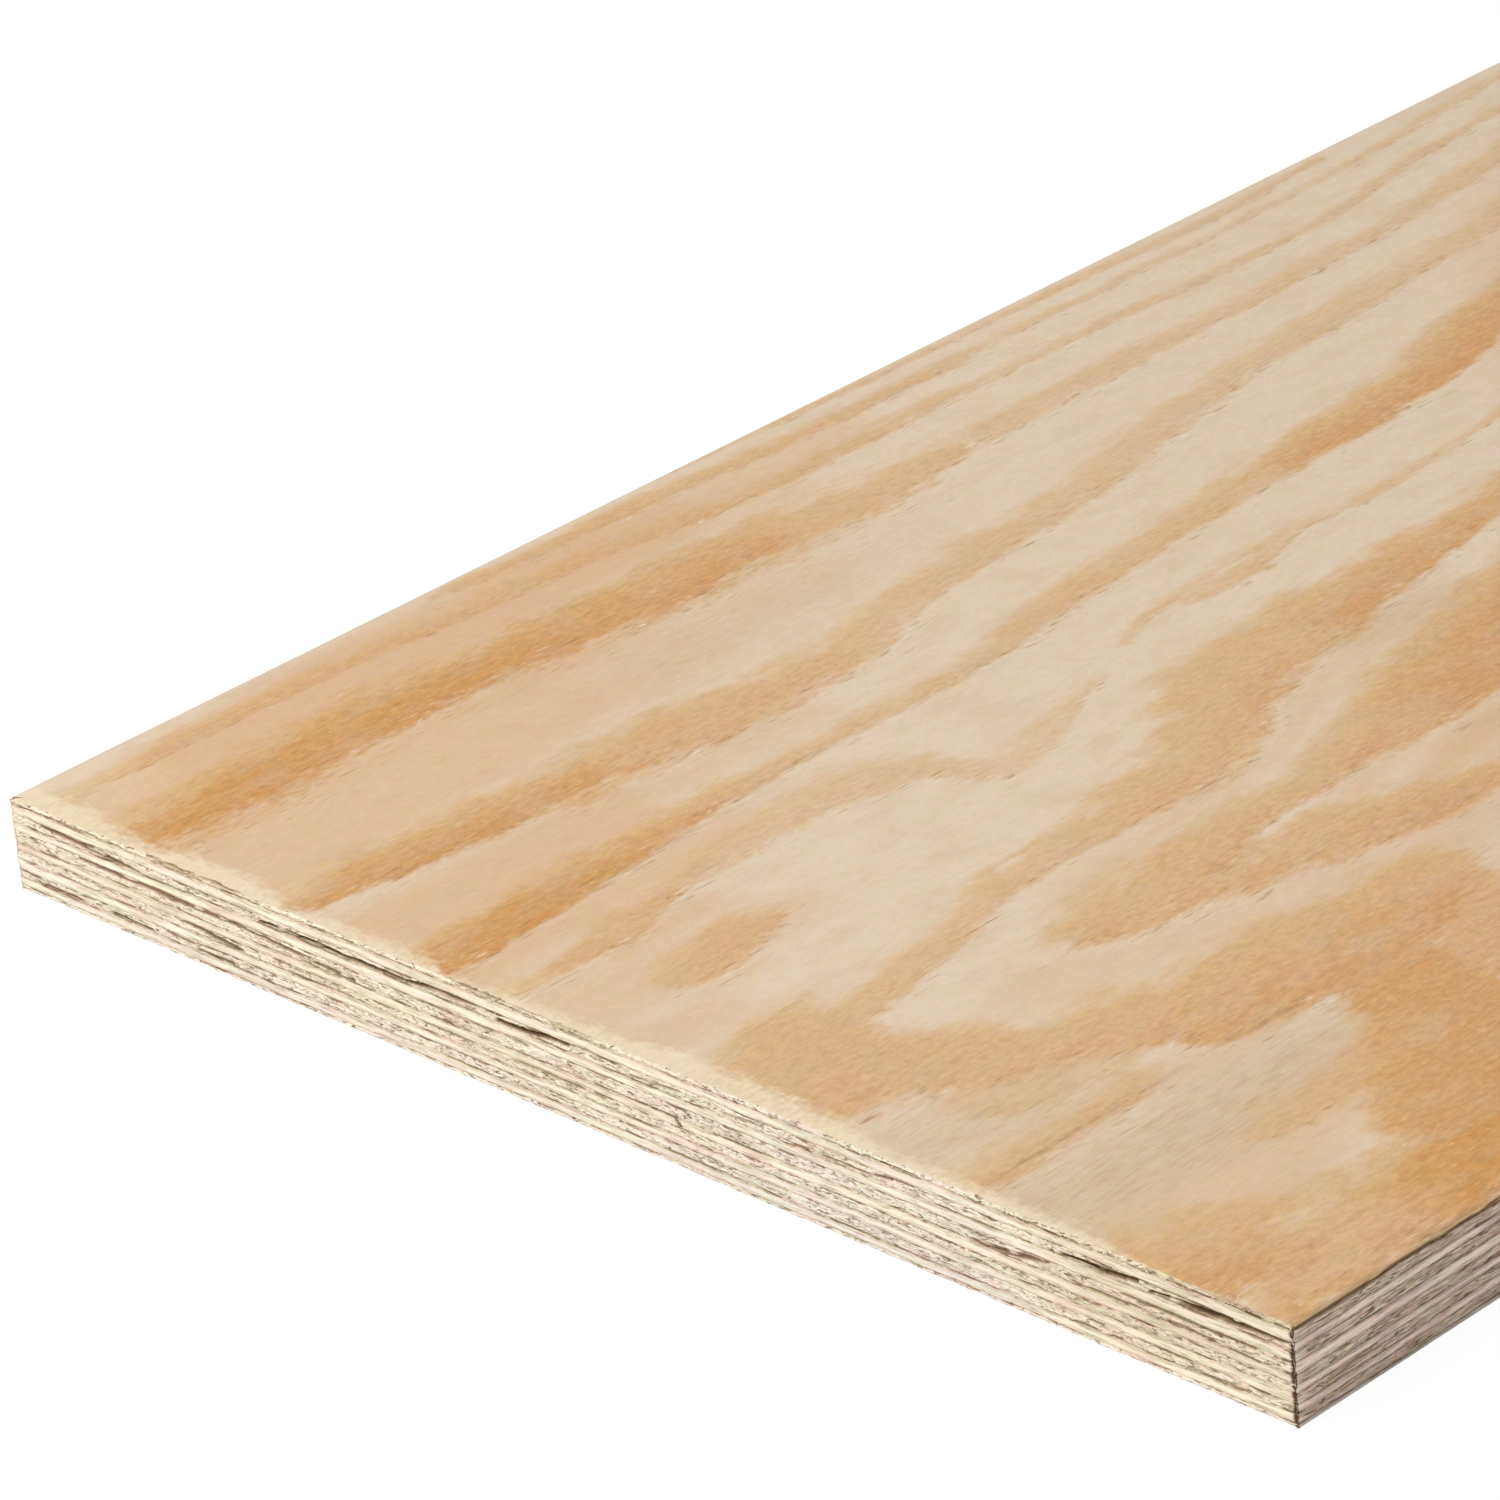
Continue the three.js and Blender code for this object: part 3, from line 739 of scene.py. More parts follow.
def rim_profile(index):
    """A veneer's sawn edge from bottom to top, as rows of fall back and share of the thickness."""
    chosen = settings("ply_veneer")
    thickness = LEVELS[index + 1] - LEVELS[index]
    groove = chosen.glue_groove
    ease = 0.1 * MM / thickness
    glued_low = [(groove, 0.0), (0.3 * groove, ease)]
    glued_high = [(0.3 * groove, 1 - ease), (groove, 1.0)]
    radius = chosen.arris_radius
    turns = [step / 3 * math.pi / 2 for step in range(4)]
    rounded = [(radius * (1 - math.cos(turn)), 1 - radius * (1 - math.sin(turn)) / thickness)
               for turn in turns]
    if index == TOP - 1:
        return np.array(glued_low + [(0.0, 2.5 * ease)] + rounded)
    if index == 0:
        return np.array([(fall, 1 - share) for fall, share in reversed(rounded)]
                        + [(0.0, 1 - 2.5 * ease)] + glued_high)
    rows = max(3, round(thickness / chosen.row_step))
    middle = [(0.0, share) for share in np.linspace(2 * ease, 1 - 2 * ease, rows)]
    return np.array(glued_low + middle + glued_high)


def shows_end_grain(node, edge):
    """Whether a veneer is sawn across its grain at an edge.

    Cross bands are at the sides, and all the others at the ends.
    """
    return np.isin(edge, (RIGHT, LEFT) if node.startswith("cross_band") else (FRONT, BACK))


def split_darkness(index, walk, height_mm):
    """How dark and deep a split is, 0 to 1, at each row and column of a veneer's rim."""
    node = VENEERS[index]
    thickness_mm = (LEVELS[index + 1] - LEVELS[index]) / MM
    darkness = np.zeros(height_mm.shape)
    for edge in (FRONT, RIGHT, BACK, LEFT):
        columns = walk["edge"] == edge
        along_mm = np.broadcast_to(walk["along"][columns] / MM, (len(height_mm), columns.sum()))
        marks = EDGE_MARKS.get((edge, node), [])
        if not marks and edge != FRONT and shows_end_grain(node, edge):
            marks = chance_marks(edge, index, along_mm.max())
        here = darkness[:, columns]
        for depth, points in marks:
            line = [(along, share * thickness_mm, half) for along, share, half in points]
            outside, _ = streak_field(along_mm, height_mm[:, columns], line)
            here = np.maximum(here, depth * smooth_step(0.36, -0.1, outside))
        darkness[:, columns] = here
    broken = lattice_noise(walk["gone"] / MM / 3.1 + 0 * height_mm, height_mm / 0.5, 70 + index)
    return darkness * smooth_step(0.05, 0.45, broken)


def spared(walk):
    """Millimetres by which a corner's knocks fall short of the widest ones.

    The end has the widest ones, beside the front right corner.
    """
    knocked_end = (walk["edge"] == FRONT) & (walk["along"] > PANEL_SIZE[0] / 2)
    knocked_side = (walk["edge"] == RIGHT) & (walk["along"] < PANEL_SIZE[1] / 2)
    return np.where(knocked_end, 0.0, np.where(knocked_side, 0.6, 1.1))


def rim_rings(index, walk):
    """Vertices of a veneer's sawn edge, row by row, with what its materials need to know of them."""
    chosen = settings("ply_veneer")
    node = VENEERS[index]
    x, y = walk["place"].T
    bottom = LEVELS[index] + wander(index, x, y)
    top = LEVELS[index + 1] + wander(index + 1, x, y)
    fall_back, share = rim_profile(index).T[:, :, None]
    z = bottom + (top - bottom) * share
    walked_mm = walk["gone"] / MM + 0 * z
    end_grain = shows_end_grain(node, walk["edge"])
    torn = lattice_noise(walked_mm / 1.3, z / MM / 0.35, chosen.seed + 40 + index)
    sawn = lattice_noise(walked_mm / 1.1, 0 * z, chosen.seed + 90)
    rough = np.where(end_grain, 0.6 * torn ** 2 + 0.15 * sawn, 0.12 * torn + 0.1 * sawn)
    split = split_darkness(index, walk, (z - bottom) / MM)
    crush_reach = 0.55 * MM
    crush = np.exp(-(walk["corner"] / crush_reach) ** 2) * lattice_noise(0 * z, z / MM / 0.7, chosen.seed + 7)
    inward = (fall_back + chosen.tear_depth * rough + chosen.split_depth * split ** 2
              + chosen.corner_wear * crush)
    if index in (0, TOP - 1):
        face_side = share if index == TOP - 1 else 1 - share
        chipped = lattice_noise(walked_mm / 2.3, 0 * z, chosen.seed + 3) * lattice_noise(
            walked_mm / 0.7, 0 * z, chosen.seed + 4)
        reached = np.where(end_grain, smooth_step(0.5, 1.0, face_side), 0.0)
        inward = inward + chosen.arris_chip * chipped * reached
    below = np.full(z.shape, FAR) if index == 0 else (z - bottom) / MM
    above = np.full(z.shape, FAR) if index == TOP - 1 else (top - z) / MM
    places = walk["place"][None] - walk["outward"][None] * inward[:, :, None]
    vertices = np.concatenate([places, z[:, :, None]], axis=2).reshape(-1, 3)
    span = walk["along"] / MM
    # Tone along the ends: darker towards the front right corner, and paler before it as a painted highlight.
    handled = smooth_step(*HANDLED, span)
    pale_painted_light = smooth_step(*PALE_PAINTED_STRETCH, span) * (1 - handled)
    tone = END_TONE.get(node, 0.0) + HANDLED_TONE * handled + PALE_PAINTED_STRETCH_TONE * pale_painted_light
    tone = np.where(np.isin(walk["edge"], (FRONT, BACK)), tone, 0.0)
    marks = {"glue_distance": np.minimum(below, above).ravel(), "split": split.ravel(),
             "corner_distance": (walk["corner"] / MM + spared(walk) + 0 * z).ravel(),
             "tone": (tone + 0 * z).ravel()}
    return vertices, marks


def grid_loop(columns, rows):
    """Indices of a grid's border points, anticlockwise from its first point."""
    bottom = list(range(columns))
    right = [columns * j + columns - 1 for j in range(1, rows)]
    top = [columns * (rows - 1) + i for i in range(columns - 2, -1, -1)]
    left = [columns * j for j in range(rows - 2, 0, -1)]
    return bottom + right + top + left


def quarter_shares(counts):
    """Share of the way round a loop at each of its points, where every edge takes a quarter."""
    return np.concatenate([(edge + np.arange(count) / count) / 4 for edge, count in enumerate(counts)])


def zip_loops(outer, outer_at, inner, inner_at):
    """Triangles between two closed loops, each with the share of the way round of its points."""
    triangles = []
    i, j = 0, 0
    outer_at = list(outer_at) + [1.0]
    inner_at = list(inner_at) + [1.0]
    while i < len(outer) or j < len(inner):
        a, b = outer[i % len(outer)], inner[j % len(inner)]
        if j >= len(inner) or (i < len(outer) and outer_at[i + 1] <= inner_at[j + 1]):
            triangles.append((a, outer[(i + 1) % len(outer)], b))
            i += 1
        else:
            triangles.append((a, inner[(j + 1) % len(inner)], b))
            j += 1
    return triangles


def broad_face(level, first, ring, walk):
    """A veneer's broad face at a level: a grid, and triangles from it out to the rim's ring."""
    step = settings("ply_veneer").face_step
    if level == TOP:
        cell = (step, 3 * step)
    elif level == 0:
        cell = (1.5 * step, 4 * step)
    else:
        cell = (30 * MM, 30 * MM)
    margin = max(2 * MM, cell[0])
    columns = round((PANEL_SIZE[0] - 2 * margin) / cell[0]) + 1
    rows = round((PANEL_SIZE[1] - 2 * margin) / cell[1]) + 1
    x, y = np.meshgrid(np.linspace(PANEL_LOW[0] + margin, PANEL_HIGH[0] - margin, columns),
                       np.linspace(PANEL_LOW[1] + margin, PANEL_HIGH[1] - margin, rows))
    vertices = np.column_stack([x.ravel(), y.ravel(), (LEVELS[level] + wander(level, x, y)).ravel()])
    inner = [first + i for i in grid_loop(columns, rows)]
    rim_counts = np.bincount(walk["edge"])
    inner_counts = [columns - 1, rows - 1, columns - 1, rows - 1]
    faces = zip_loops(ring, quarter_shares(rim_counts), inner, quarter_shares(inner_counts))
    corners = (first + np.arange(rows - 1)[:, None] * columns + np.arange(columns - 1)).ravel()
    faces += np.column_stack([corners, corners + 1, corners + columns + 1, corners + columns]).tolist()
    return vertices, faces


def build_veneer(index):
    """One veneer as a closed mesh: sawn edges all round, and a broad face above and below."""
    walk = walk_round()
    count = len(walk["edge"])
    following = np.roll(np.arange(count), -1)
    vertices, marks = rim_rings(index, walk)
    ring_count = len(vertices) // count
    rim_faces, rim_u = [], []
    for row in range(ring_count - 1):
        here = row * count + np.arange(count)
        after = row * count + following
        rim_faces.append(np.column_stack([here, after, after + count, here + count]))
        u_after = np.append(walk["gone"][1:], walk["round"])
        rim_u.append(np.column_stack([walk["gone"], u_after, u_after, walk["gone"]]))
    faces = np.concatenate(rim_faces).tolist()
    end_grain = shows_end_grain(VENEERS[index], walk["edge"])
    materials = np.tile(np.where(end_grain, 2, 1), ring_count - 1).tolist()
    for row, level in ((0, index), (ring_count - 1, index + 1)):
        ring = list(range(row * count, (row + 1) * count))
        cap_vertices, cap = broad_face(level, len(vertices), ring, walk)
        if level == index:
            cap = [face[::-1] for face in cap]
        vertices = np.vstack([vertices, cap_vertices])
        faces += cap
        materials += [0 if level in (0, TOP) else 1] * len(cap)
    mesh = bpy.data.meshes.new(VENEERS[index] + "_sawn")
    mesh.from_pydata(vertices.tolist(), [], faces)
    mesh.polygons.foreach_set("material_index", materials)
    mesh.shade_smooth()
    for (name, values), elsewhere in zip(marks.items(), (FAR, 0.0, FAR, 0.0)):
        whole = np.full(len(vertices), elsewhere)
        whole[:len(values)] = values
        mesh.attributes.new(name, "FLOAT", "POINT").data.foreach_set("value", whole)
    add_edge_map(mesh, vertices, np.concatenate(rim_u).ravel())
    mesh.set_sharp_from_angle(angle=math.radians(50))
    return mesh


def add_edge_map(mesh, vertices, rim_u):
    """A UV map in metres: along the edge and up it on the rim, and x, y on the broad faces."""
    layer = mesh.uv_layers.new(name="edge_map")
    corner_vertex = np.zeros(len(mesh.loops), dtype=np.int32)
    mesh.loops.foreach_get("vertex_index", corner_vertex)
    coordinates = vertices[corner_vertex][:, :2].copy()
    coordinates[:len(rim_u), 0] = rim_u
    coordinates[:len(rim_u), 1] = vertices[corner_vertex[:len(rim_u)], 2]
    layer.data.foreach_set("uv", coordinates.ravel())


def add_figure(mesh, turned):
    """Stores the sanded face's figure on the mesh, and lets the hard latewood stand proud.

    The underside has the same log's figure, turned end for end. The left arris is rubbed less than the
    right one, as if it were that many millimetres further off.
    """
    left_spared = 2.8
    places = np.zeros(len(mesh.vertices) * 3)
    mesh.vertices.foreach_get("co", places)
    places = places.reshape(-1, 3)
    x = (places[:, 0] - PANEL_LOW[0]) / MM
    y = (places[:, 1] - PANEL_LOW[1]) / MM
    length = PANEL_SIZE[1] / MM
    edge, depth, side, warmth, greyness, bleach, line = face_figure(x, length - y if turned else y)
    figure = {"latewood_edge": edge, "latewood_depth": depth, "latewood_side": side, "warmth": warmth,
              "greyness": greyness, "bleach": bleach, "growth_line": line,
              "fray": np.interp(x, *zip(*END_FRAY)),
              "end_distance": np.minimum(y, length - y),
              "side_distance": np.minimum(x + left_spared, PANEL_SIZE[0] / MM - x)}
    for name, values in figure.items():
        mesh.attributes.new(name, "FLOAT", "POINT").data.foreach_set("value", values)
    level = PANEL_LOW[2] if turned else PANEL_HIGH[2]
    sunk = settings("ply_veneer").latewood_relief * smooth_step(-0.6, 0.8, edge)
    inwards = 1 if turned else -1
    places[:, 2] += np.where(np.abs(places[:, 2] - level) < 1e-6, inwards * sunk, 0.0)
    mesh.vertices.foreach_set("co", places.ravel())
    mesh.update()


def place_piece(mesh, node, materials):
    """Links a finished veneer in place of its node."""
    for material in materials:
        mesh.materials.append(material)
    piece = link_object(mesh.name, mesh)
    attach(piece, "root")
    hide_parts(node)


def build_bands(kind):
    """Builds every inner veneer of a kind. Its hidden broad faces look as if sawn along the grain."""
    along, across = sawn_materials(kind)
    for index, node in enumerate(VENEERS):
        if node.startswith(kind):
            place_piece(build_veneer(index), node, [along, along, across])


class PLY_OT_cross_bands(bpy.types.Operator):
    """Builds the five inner veneers whose grain runs across the panel"""
    bl_idname = "plywood.cross_bands"
    bl_label = "Cross Bands"

    def execute(self, context):
        build_bands("cross_band")
        return {"FINISHED"}


class PLY_OT_long_bands(bpy.types.Operator):
    """Builds the four inner veneers whose grain runs along the panel"""
    bl_idname = "plywood.long_bands"
    bl_label = "Long Bands"

    def execute(self, context):
        build_bands("long_band")
        return {"FINISHED"}


class PLY_OT_outer_veneers(bpy.types.Operator):
    """Builds the two sanded outer veneers with their figure"""
    bl_idname = "plywood.outer_veneers"
    bl_label = "Outer Veneers"

    def execute(self, context):
        broad = sanded_face_material()
        for index in (0, TOP - 1):
            mesh = build_veneer(index)
            add_figure(mesh, turned=index == 0)
            place_piece(mesh, VENEERS[index], [broad, *sawn_materials(VENEERS[index])])
        return {"FINISHED"}


# ---------------------------------------------------------------- splinters

class PLY_OT_splinters(bpy.types.Operator):
    """Scatters slivers on the arrises of the two ends, and a few on the face"""
    bl_idname = "plywood.splinters"
    bl_label = "Splinters"

    def execute(self, context):
        chosen = settings("ply_splinters")
        tree = splinter_tree()
        holder = link_object("splinter_holder", bpy.data.meshes.new("splinter_holder"))
        modifier = holder.modifiers.new("splinters", "NODES")
        modifier.node_group = tree
        wanted = {"Count": chosen.count, "Length": chosen.length, "Width": chosen.width,
                  "Thickness": chosen.thickness, "Seed": chosen.seed, "Material": lifted_fibre_material()}
        for socket in tree.interface.items_tree:
            if socket.in_out == "INPUT":
                modifier[socket.identifier] = wanted[socket.name]
        graph = context.evaluated_depsgraph_get()
        mesh = bpy.data.meshes.new_from_object(holder.evaluated_get(graph))
        bpy.data.objects.remove(holder)
        mesh.name = "arris_splinters"
        piece = link_object(mesh.name, mesh)
        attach(piece, "root")
        return {"FINISHED"}


def splinter_fields():
    """Where slivers lie: share of the count, lowest and highest place, and lowest and highest turn.

    A sliver points up before it is turned. On an end it points down the sawn edge, and on a broad
    face it lies flat and points inwards.
    """
    low, high = PANEL_LOW, PANEL_HIGH
    left, right = low[0] + 3 * MM, high[0] - 3 * MM
    skin = 0.08 * MM
    flat = 0.028 * MM
    quarter = math.pi / 2
    fields = []
    for end_y, inwards in ((low[1], 1), (high[1], -1)):
        for level, upwards in ((high[2], 1), (low[2], -1)):
            edge_y = sorted((end_y + inwards * skin, end_y + inwards * 2 * skin))
            edge_z = sorted((level - upwards * 0.1 * MM, level - upwards * 0.9 * MM))
            down = 0 if upwards < 0 else math.pi
            fields.append((1.0, (left, edge_y[0], edge_z[0]), (right, edge_y[1], edge_z[1]),
                           (0, down - 1.35, 0), (0, down + 1.35, 0)))
            face_y = sorted((end_y + inwards * 0.3 * MM, end_y + inwards * 1.6 * MM))
            face_z = level - upwards * flat
            heading = 0 if inwards > 0 else math.pi
            fields.append((1.2, (left, face_y[0], face_z), (right, face_y[1], face_z),
                           (-quarter, 0, heading - 1.2), (-quarter, 0, heading + 1.2)))
    loose_z = high[2] - flat
    margin = 5 * MM
    fields.append((0.2, (low[0] + margin, low[1] + margin, loose_z),
                   (high[0] - margin, high[1] - margin, loose_z),
                   (-quarter, 0, -0.5), (-quarter, 0, 0.5)))
    # Four or so lie close together near the left arris.
    lone_x, lone_y = low[0] + 20 * MM, low[1] + 151 * MM
    fields.append((0.017, (lone_x - 0.3 * MM, lone_y - 1.2 * MM, loose_z),
                   (lone_x + 0.3 * MM, lone_y + 1.2 * MM, loose_z),
                   (-quarter, 0, 0.3), (-quarter, 0, 0.7)))
    return fields


def splinter_tree():
    """Geometry Nodes that scatter pointed slivers over each of the fields."""
    tree = bpy.data.node_groups.new("pine splinters", "GeometryNodeTree")
    tree.interface.new_socket("Geometry", in_out="OUTPUT", socket_type="NodeSocketGeometry")
    for name, kind in (("Count", "Int"), ("Length", "Float"), ("Width", "Float"), ("Thickness", "Float"),
                       ("Seed", "Int"), ("Material", "Material")):
        tree.interface.new_socket(name, in_out="INPUT", socket_type="NodeSocket" + kind)
    sizes = add_node(tree, "NodeGroupInput").node.outputs
    sliver = add_node(tree, "GeometryNodeMeshCone", {
        "Vertices": 4, "Side Segments": 1, "Fill Segments": 1, "Radius Top": 0.0, "Radius Bottom": 0.5,
        "Depth": 1.0})
    largest = add_node(tree, "ShaderNodeCombineXYZ", {
        0: sizes["Width"], 1: sizes["Thickness"], 2: sizes["Length"]})
    smallest = add_node(tree, "ShaderNodeVectorMath", {0: largest, 1: (0.4, 0.8, 0.25)}, operation="MULTIPLY")
    scattered = []
    for number, (share, place_low, place_high, turn_low, turn_high) in enumerate(splinter_fields()):
        seed = add_node(tree, "ShaderNodeMath", {0: sizes["Seed"], 1: 10 * number}, operation="ADD")
        count = add_node(tree, "ShaderNodeMath", {0: sizes["Count"], 1: share}, operation="MULTIPLY")
        ranges = ((place_low, place_high), (turn_low, turn_high), (smallest, largest))
        chance = []
        for step, (least, most) in enumerate(ranges):
            step_seed = add_node(tree, "ShaderNodeMath", {0: seed, 1: step}, operation="ADD")
            chance.append(add_node(tree, "FunctionNodeRandomValue", {
                "Min": least, "Max": most, "Seed": step_seed}, data_type="FLOAT_VECTOR"))
        place, turn, size = chance
        points = add_node(tree, "GeometryNodePoints", {"Count": count, "Position": place})
        scattered.append(add_node(tree, "GeometryNodeInstanceOnPoints", {
            "Points": points, "Instance": sliver, "Rotation": turn, "Scale": size}))
    joined = add_node(tree, "GeometryNodeJoinGeometry").node
    for instances in scattered:
        tree.links.new(instances, joined.inputs[0])
    solid = add_node(tree, "GeometryNodeRealizeInstances", {0: joined.outputs[0]})
    finished = add_node(tree, "GeometryNodeSetMaterial", {"Geometry": solid, "Material": sizes["Material"]})
    add_node(tree, "NodeGroupOutput", {0: finished})
    return tree


# ---------------------------------------------------------------- materials

def patches(tree, place, cell_mm, low, high, most=1.0, least=0.0, detail=2.0, roughness=0.5, slant=0.0,
            shift=0.0, curl=0.0):
    """Soft patches whose cells have these sizes in millimetres along each axis.

    The value is least where their noise is under low, and most where it is over high. Slant turns the
    cells, shift picks another part of the noise, and curl bends it.
    """
    fitted = add_node(tree, "ShaderNodeMapping", {
        "Vector": place, "Location": (0.31 * shift, 0.17 * shift, 0.23 * shift), "Rotation": (0, 0, slant),
        "Scale": [size * MM for size in cell_mm]}, vector_type="TEXTURE")
    noise = add_node(tree, "ShaderNodeTexNoise", {
        "Vector": fitted, "Scale": 1.0, "Detail": detail, "Roughness": roughness, "Distortion": curl})
    return add_node(tree, "ShaderNodeMapRange", {
        "Value": noise, "From Min": low, "From Max": high, "To Min": least, "To Max": most},
        interpolation_type="SMOOTHSTEP")


def layer_colours(tree, base, layers, blend_type="MIX"):
    """Lays colours over a base colour, each as strongly as its share says."""
    for share, layer in layers:
        base = add_node(tree, "ShaderNodeMix", {"Factor": share, 6: base, 7: layer}, 2,
                        data_type="RGBA", blend_type=blend_type)
    return base


def attributes(tree, *names):
    """The values of the mesh's own attributes."""
    return [add_node(tree, "ShaderNodeAttribute", output="Fac", attribute_name=name) for name in names]


def finish_wood(tree, shader, colour, roughness, height, bump_mm):
    """Sets bare wood's shader from its colour, roughness and relief height."""
    bump = add_node(tree, "ShaderNodeBump", {"Height": height, "Strength": 1.0, "Distance": bump_mm * MM})
    tree.links.new(colour, shader.inputs["Base Color"])
    tree.links.new(roughness, shader.inputs["Roughness"])
    tree.links.new(bump, shader.inputs["Normal"])
    shader.inputs["IOR"].default_value = 1.5
    shader.inputs["Specular IOR Level"].default_value = 0.28


def latewood_strength(tree, place, edge, depth, side):
    """How much latewood colour a place has, 0 to 1, with ragged borders and uneven flames."""
    ragged = patches(tree, place, (1.5, 4.4, 4.4), 0.3, 0.7, 0.95, detail=4.0, roughness=0.55, shift=2)
    wobble = patches(tree, place, (5, 13, 13), 0.3, 0.7, 0.7, shift=1)
    stopped = add_node(tree, "ShaderNodeMapRange", {
        "Value": side, "From Min": -0.7, "From Max": 0.3, "To Min": 0.25})
    strayed = add_node(tree, "ShaderNodeMath", {0: ragged, 1: stopped, 2: wobble}, operation="MULTIPLY_ADD")
    border = add_node(tree, "ShaderNodeMath", {0: edge, 1: strayed}, operation="ADD")
    lean = add_node(tree, "ShaderNodeMapRange", {
        "Value": side, "From Min": -1.0, "From Max": 0.7, "To Min": 0.76})
    inside = add_node(tree, "ShaderNodeMapRange", {
        "Value": border, "From Min": 1.6, "From Max": -0.2, "To Max": lean}, interpolation_type="SMOOTHSTEP")
    uneven = patches(tree, place, (4.5, 13, 13), 0.34, 0.66, 1.1, least=0.88, detail=3.0, shift=8)
    strength = add_node(tree, "ShaderNodeMath", {0: inside, 1: depth}, operation="MULTIPLY")
    return add_node(tree, "ShaderNodeMath", {0: strength, 1: uneven}, operation="MULTIPLY")


def frayed_share(tree, place, from_end, fray):
    """How far the saw has frayed the face at an end, 0 to 1. Fray is how far in it surely reaches."""
    reach = patches(tree, place, (3, 1.6, 1.6), 0.3, 0.7, 2.4, detail=5.0, roughness=0.6, shift=7)
    reach = add_node(tree, "ShaderNodeMath", {0: reach, 1: fray}, operation="ADD")
    full = add_node(tree, "ShaderNodeMath", {0: reach, 1: 3.0}, operation="SUBTRACT")
    return add_node(tree, "ShaderNodeMapRange", {
        "Value": from_end, "From Min": reach, "From Max": full, "To Max": 0.82})


def torn_shares(tree, place, edge, side, fuzz):
    """Shares of lifted fibres, of painted shadow in the pits between them and of dark ticks, where the grain
    tears.

    It tears at the frayed ends, and most where growth stopped, which is a streak's right border.
    """
    to_border = add_node(tree, "ShaderNodeMath", {0: edge}, operation="ABSOLUTE")
    stopped = add_node(tree, "ShaderNodeMapRange", {"Value": side, "From Min": -0.3, "From Max": 0.5})
    tearing = add_node(tree, "ShaderNodeMapRange", {
        "Value": to_border, "From Min": 2.4, "From Max": 0.4, "To Max": stopped})
    tearing = patches(tree, place, (7, 12, 12), 0.52, 0.64, tearing, detail=3.0, shift=19)
    tearing = add_node(tree, "ShaderNodeMath", {0: tearing, 1: fuzz}, operation="MAXIMUM")
    beside = add_node(tree, "ShaderNodeMapRange", {
        "Value": to_border, "From Min": 3.8, "From Max": 1.2, "To Max": stopped})
    lifted = patches(tree, place, (0.9, 3.4, 3.4), 0.52, 0.72, 0.62, detail=3.0, shift=20)
    # Painted shadow: the pits between lifted fibres are coloured brown, as if shade fell in them.
    pit_shadow = patches(tree, place, (0.8, 3.6, 3.6), 0.52, 0.72, 0.55, detail=3.0, shift=21)
    tick = patches(tree, place, (0.55, 6, 6), 0.6, 0.74, 0.6, detail=2.0, shift=23)
    return [add_node(tree, "ShaderNodeMath", {0: share, 1: where}, operation="MULTIPLY")
            for share, where in ((lifted, tearing), (pit_shadow, tearing), (tick, beside))]


def rubbed_share(tree, place, from_side):
    """How far handling has rubbed and soiled the arrises of the long sides, 0 to 1."""
    soiled_reach = patches(tree, place, (2, 7, 7), 0.25, 0.7, 3.2, least=0.6, detail=3.0, shift=12)
    soiled = add_node(tree, "ShaderNodeMapRange", {
        "Value": from_side, "From Min": soiled_reach, "From Max": 0.1, "To Max": 0.42})
    rubbed = add_node(tree, "ShaderNodeMapRange", {
        "Value": from_side, "From Min": 0.6, "From Max": 0.15, "To Max": 0.7})
    return add_node(tree, "ShaderNodeMath", {0: rubbed, 1: soiled}, operation="MAXIMUM")


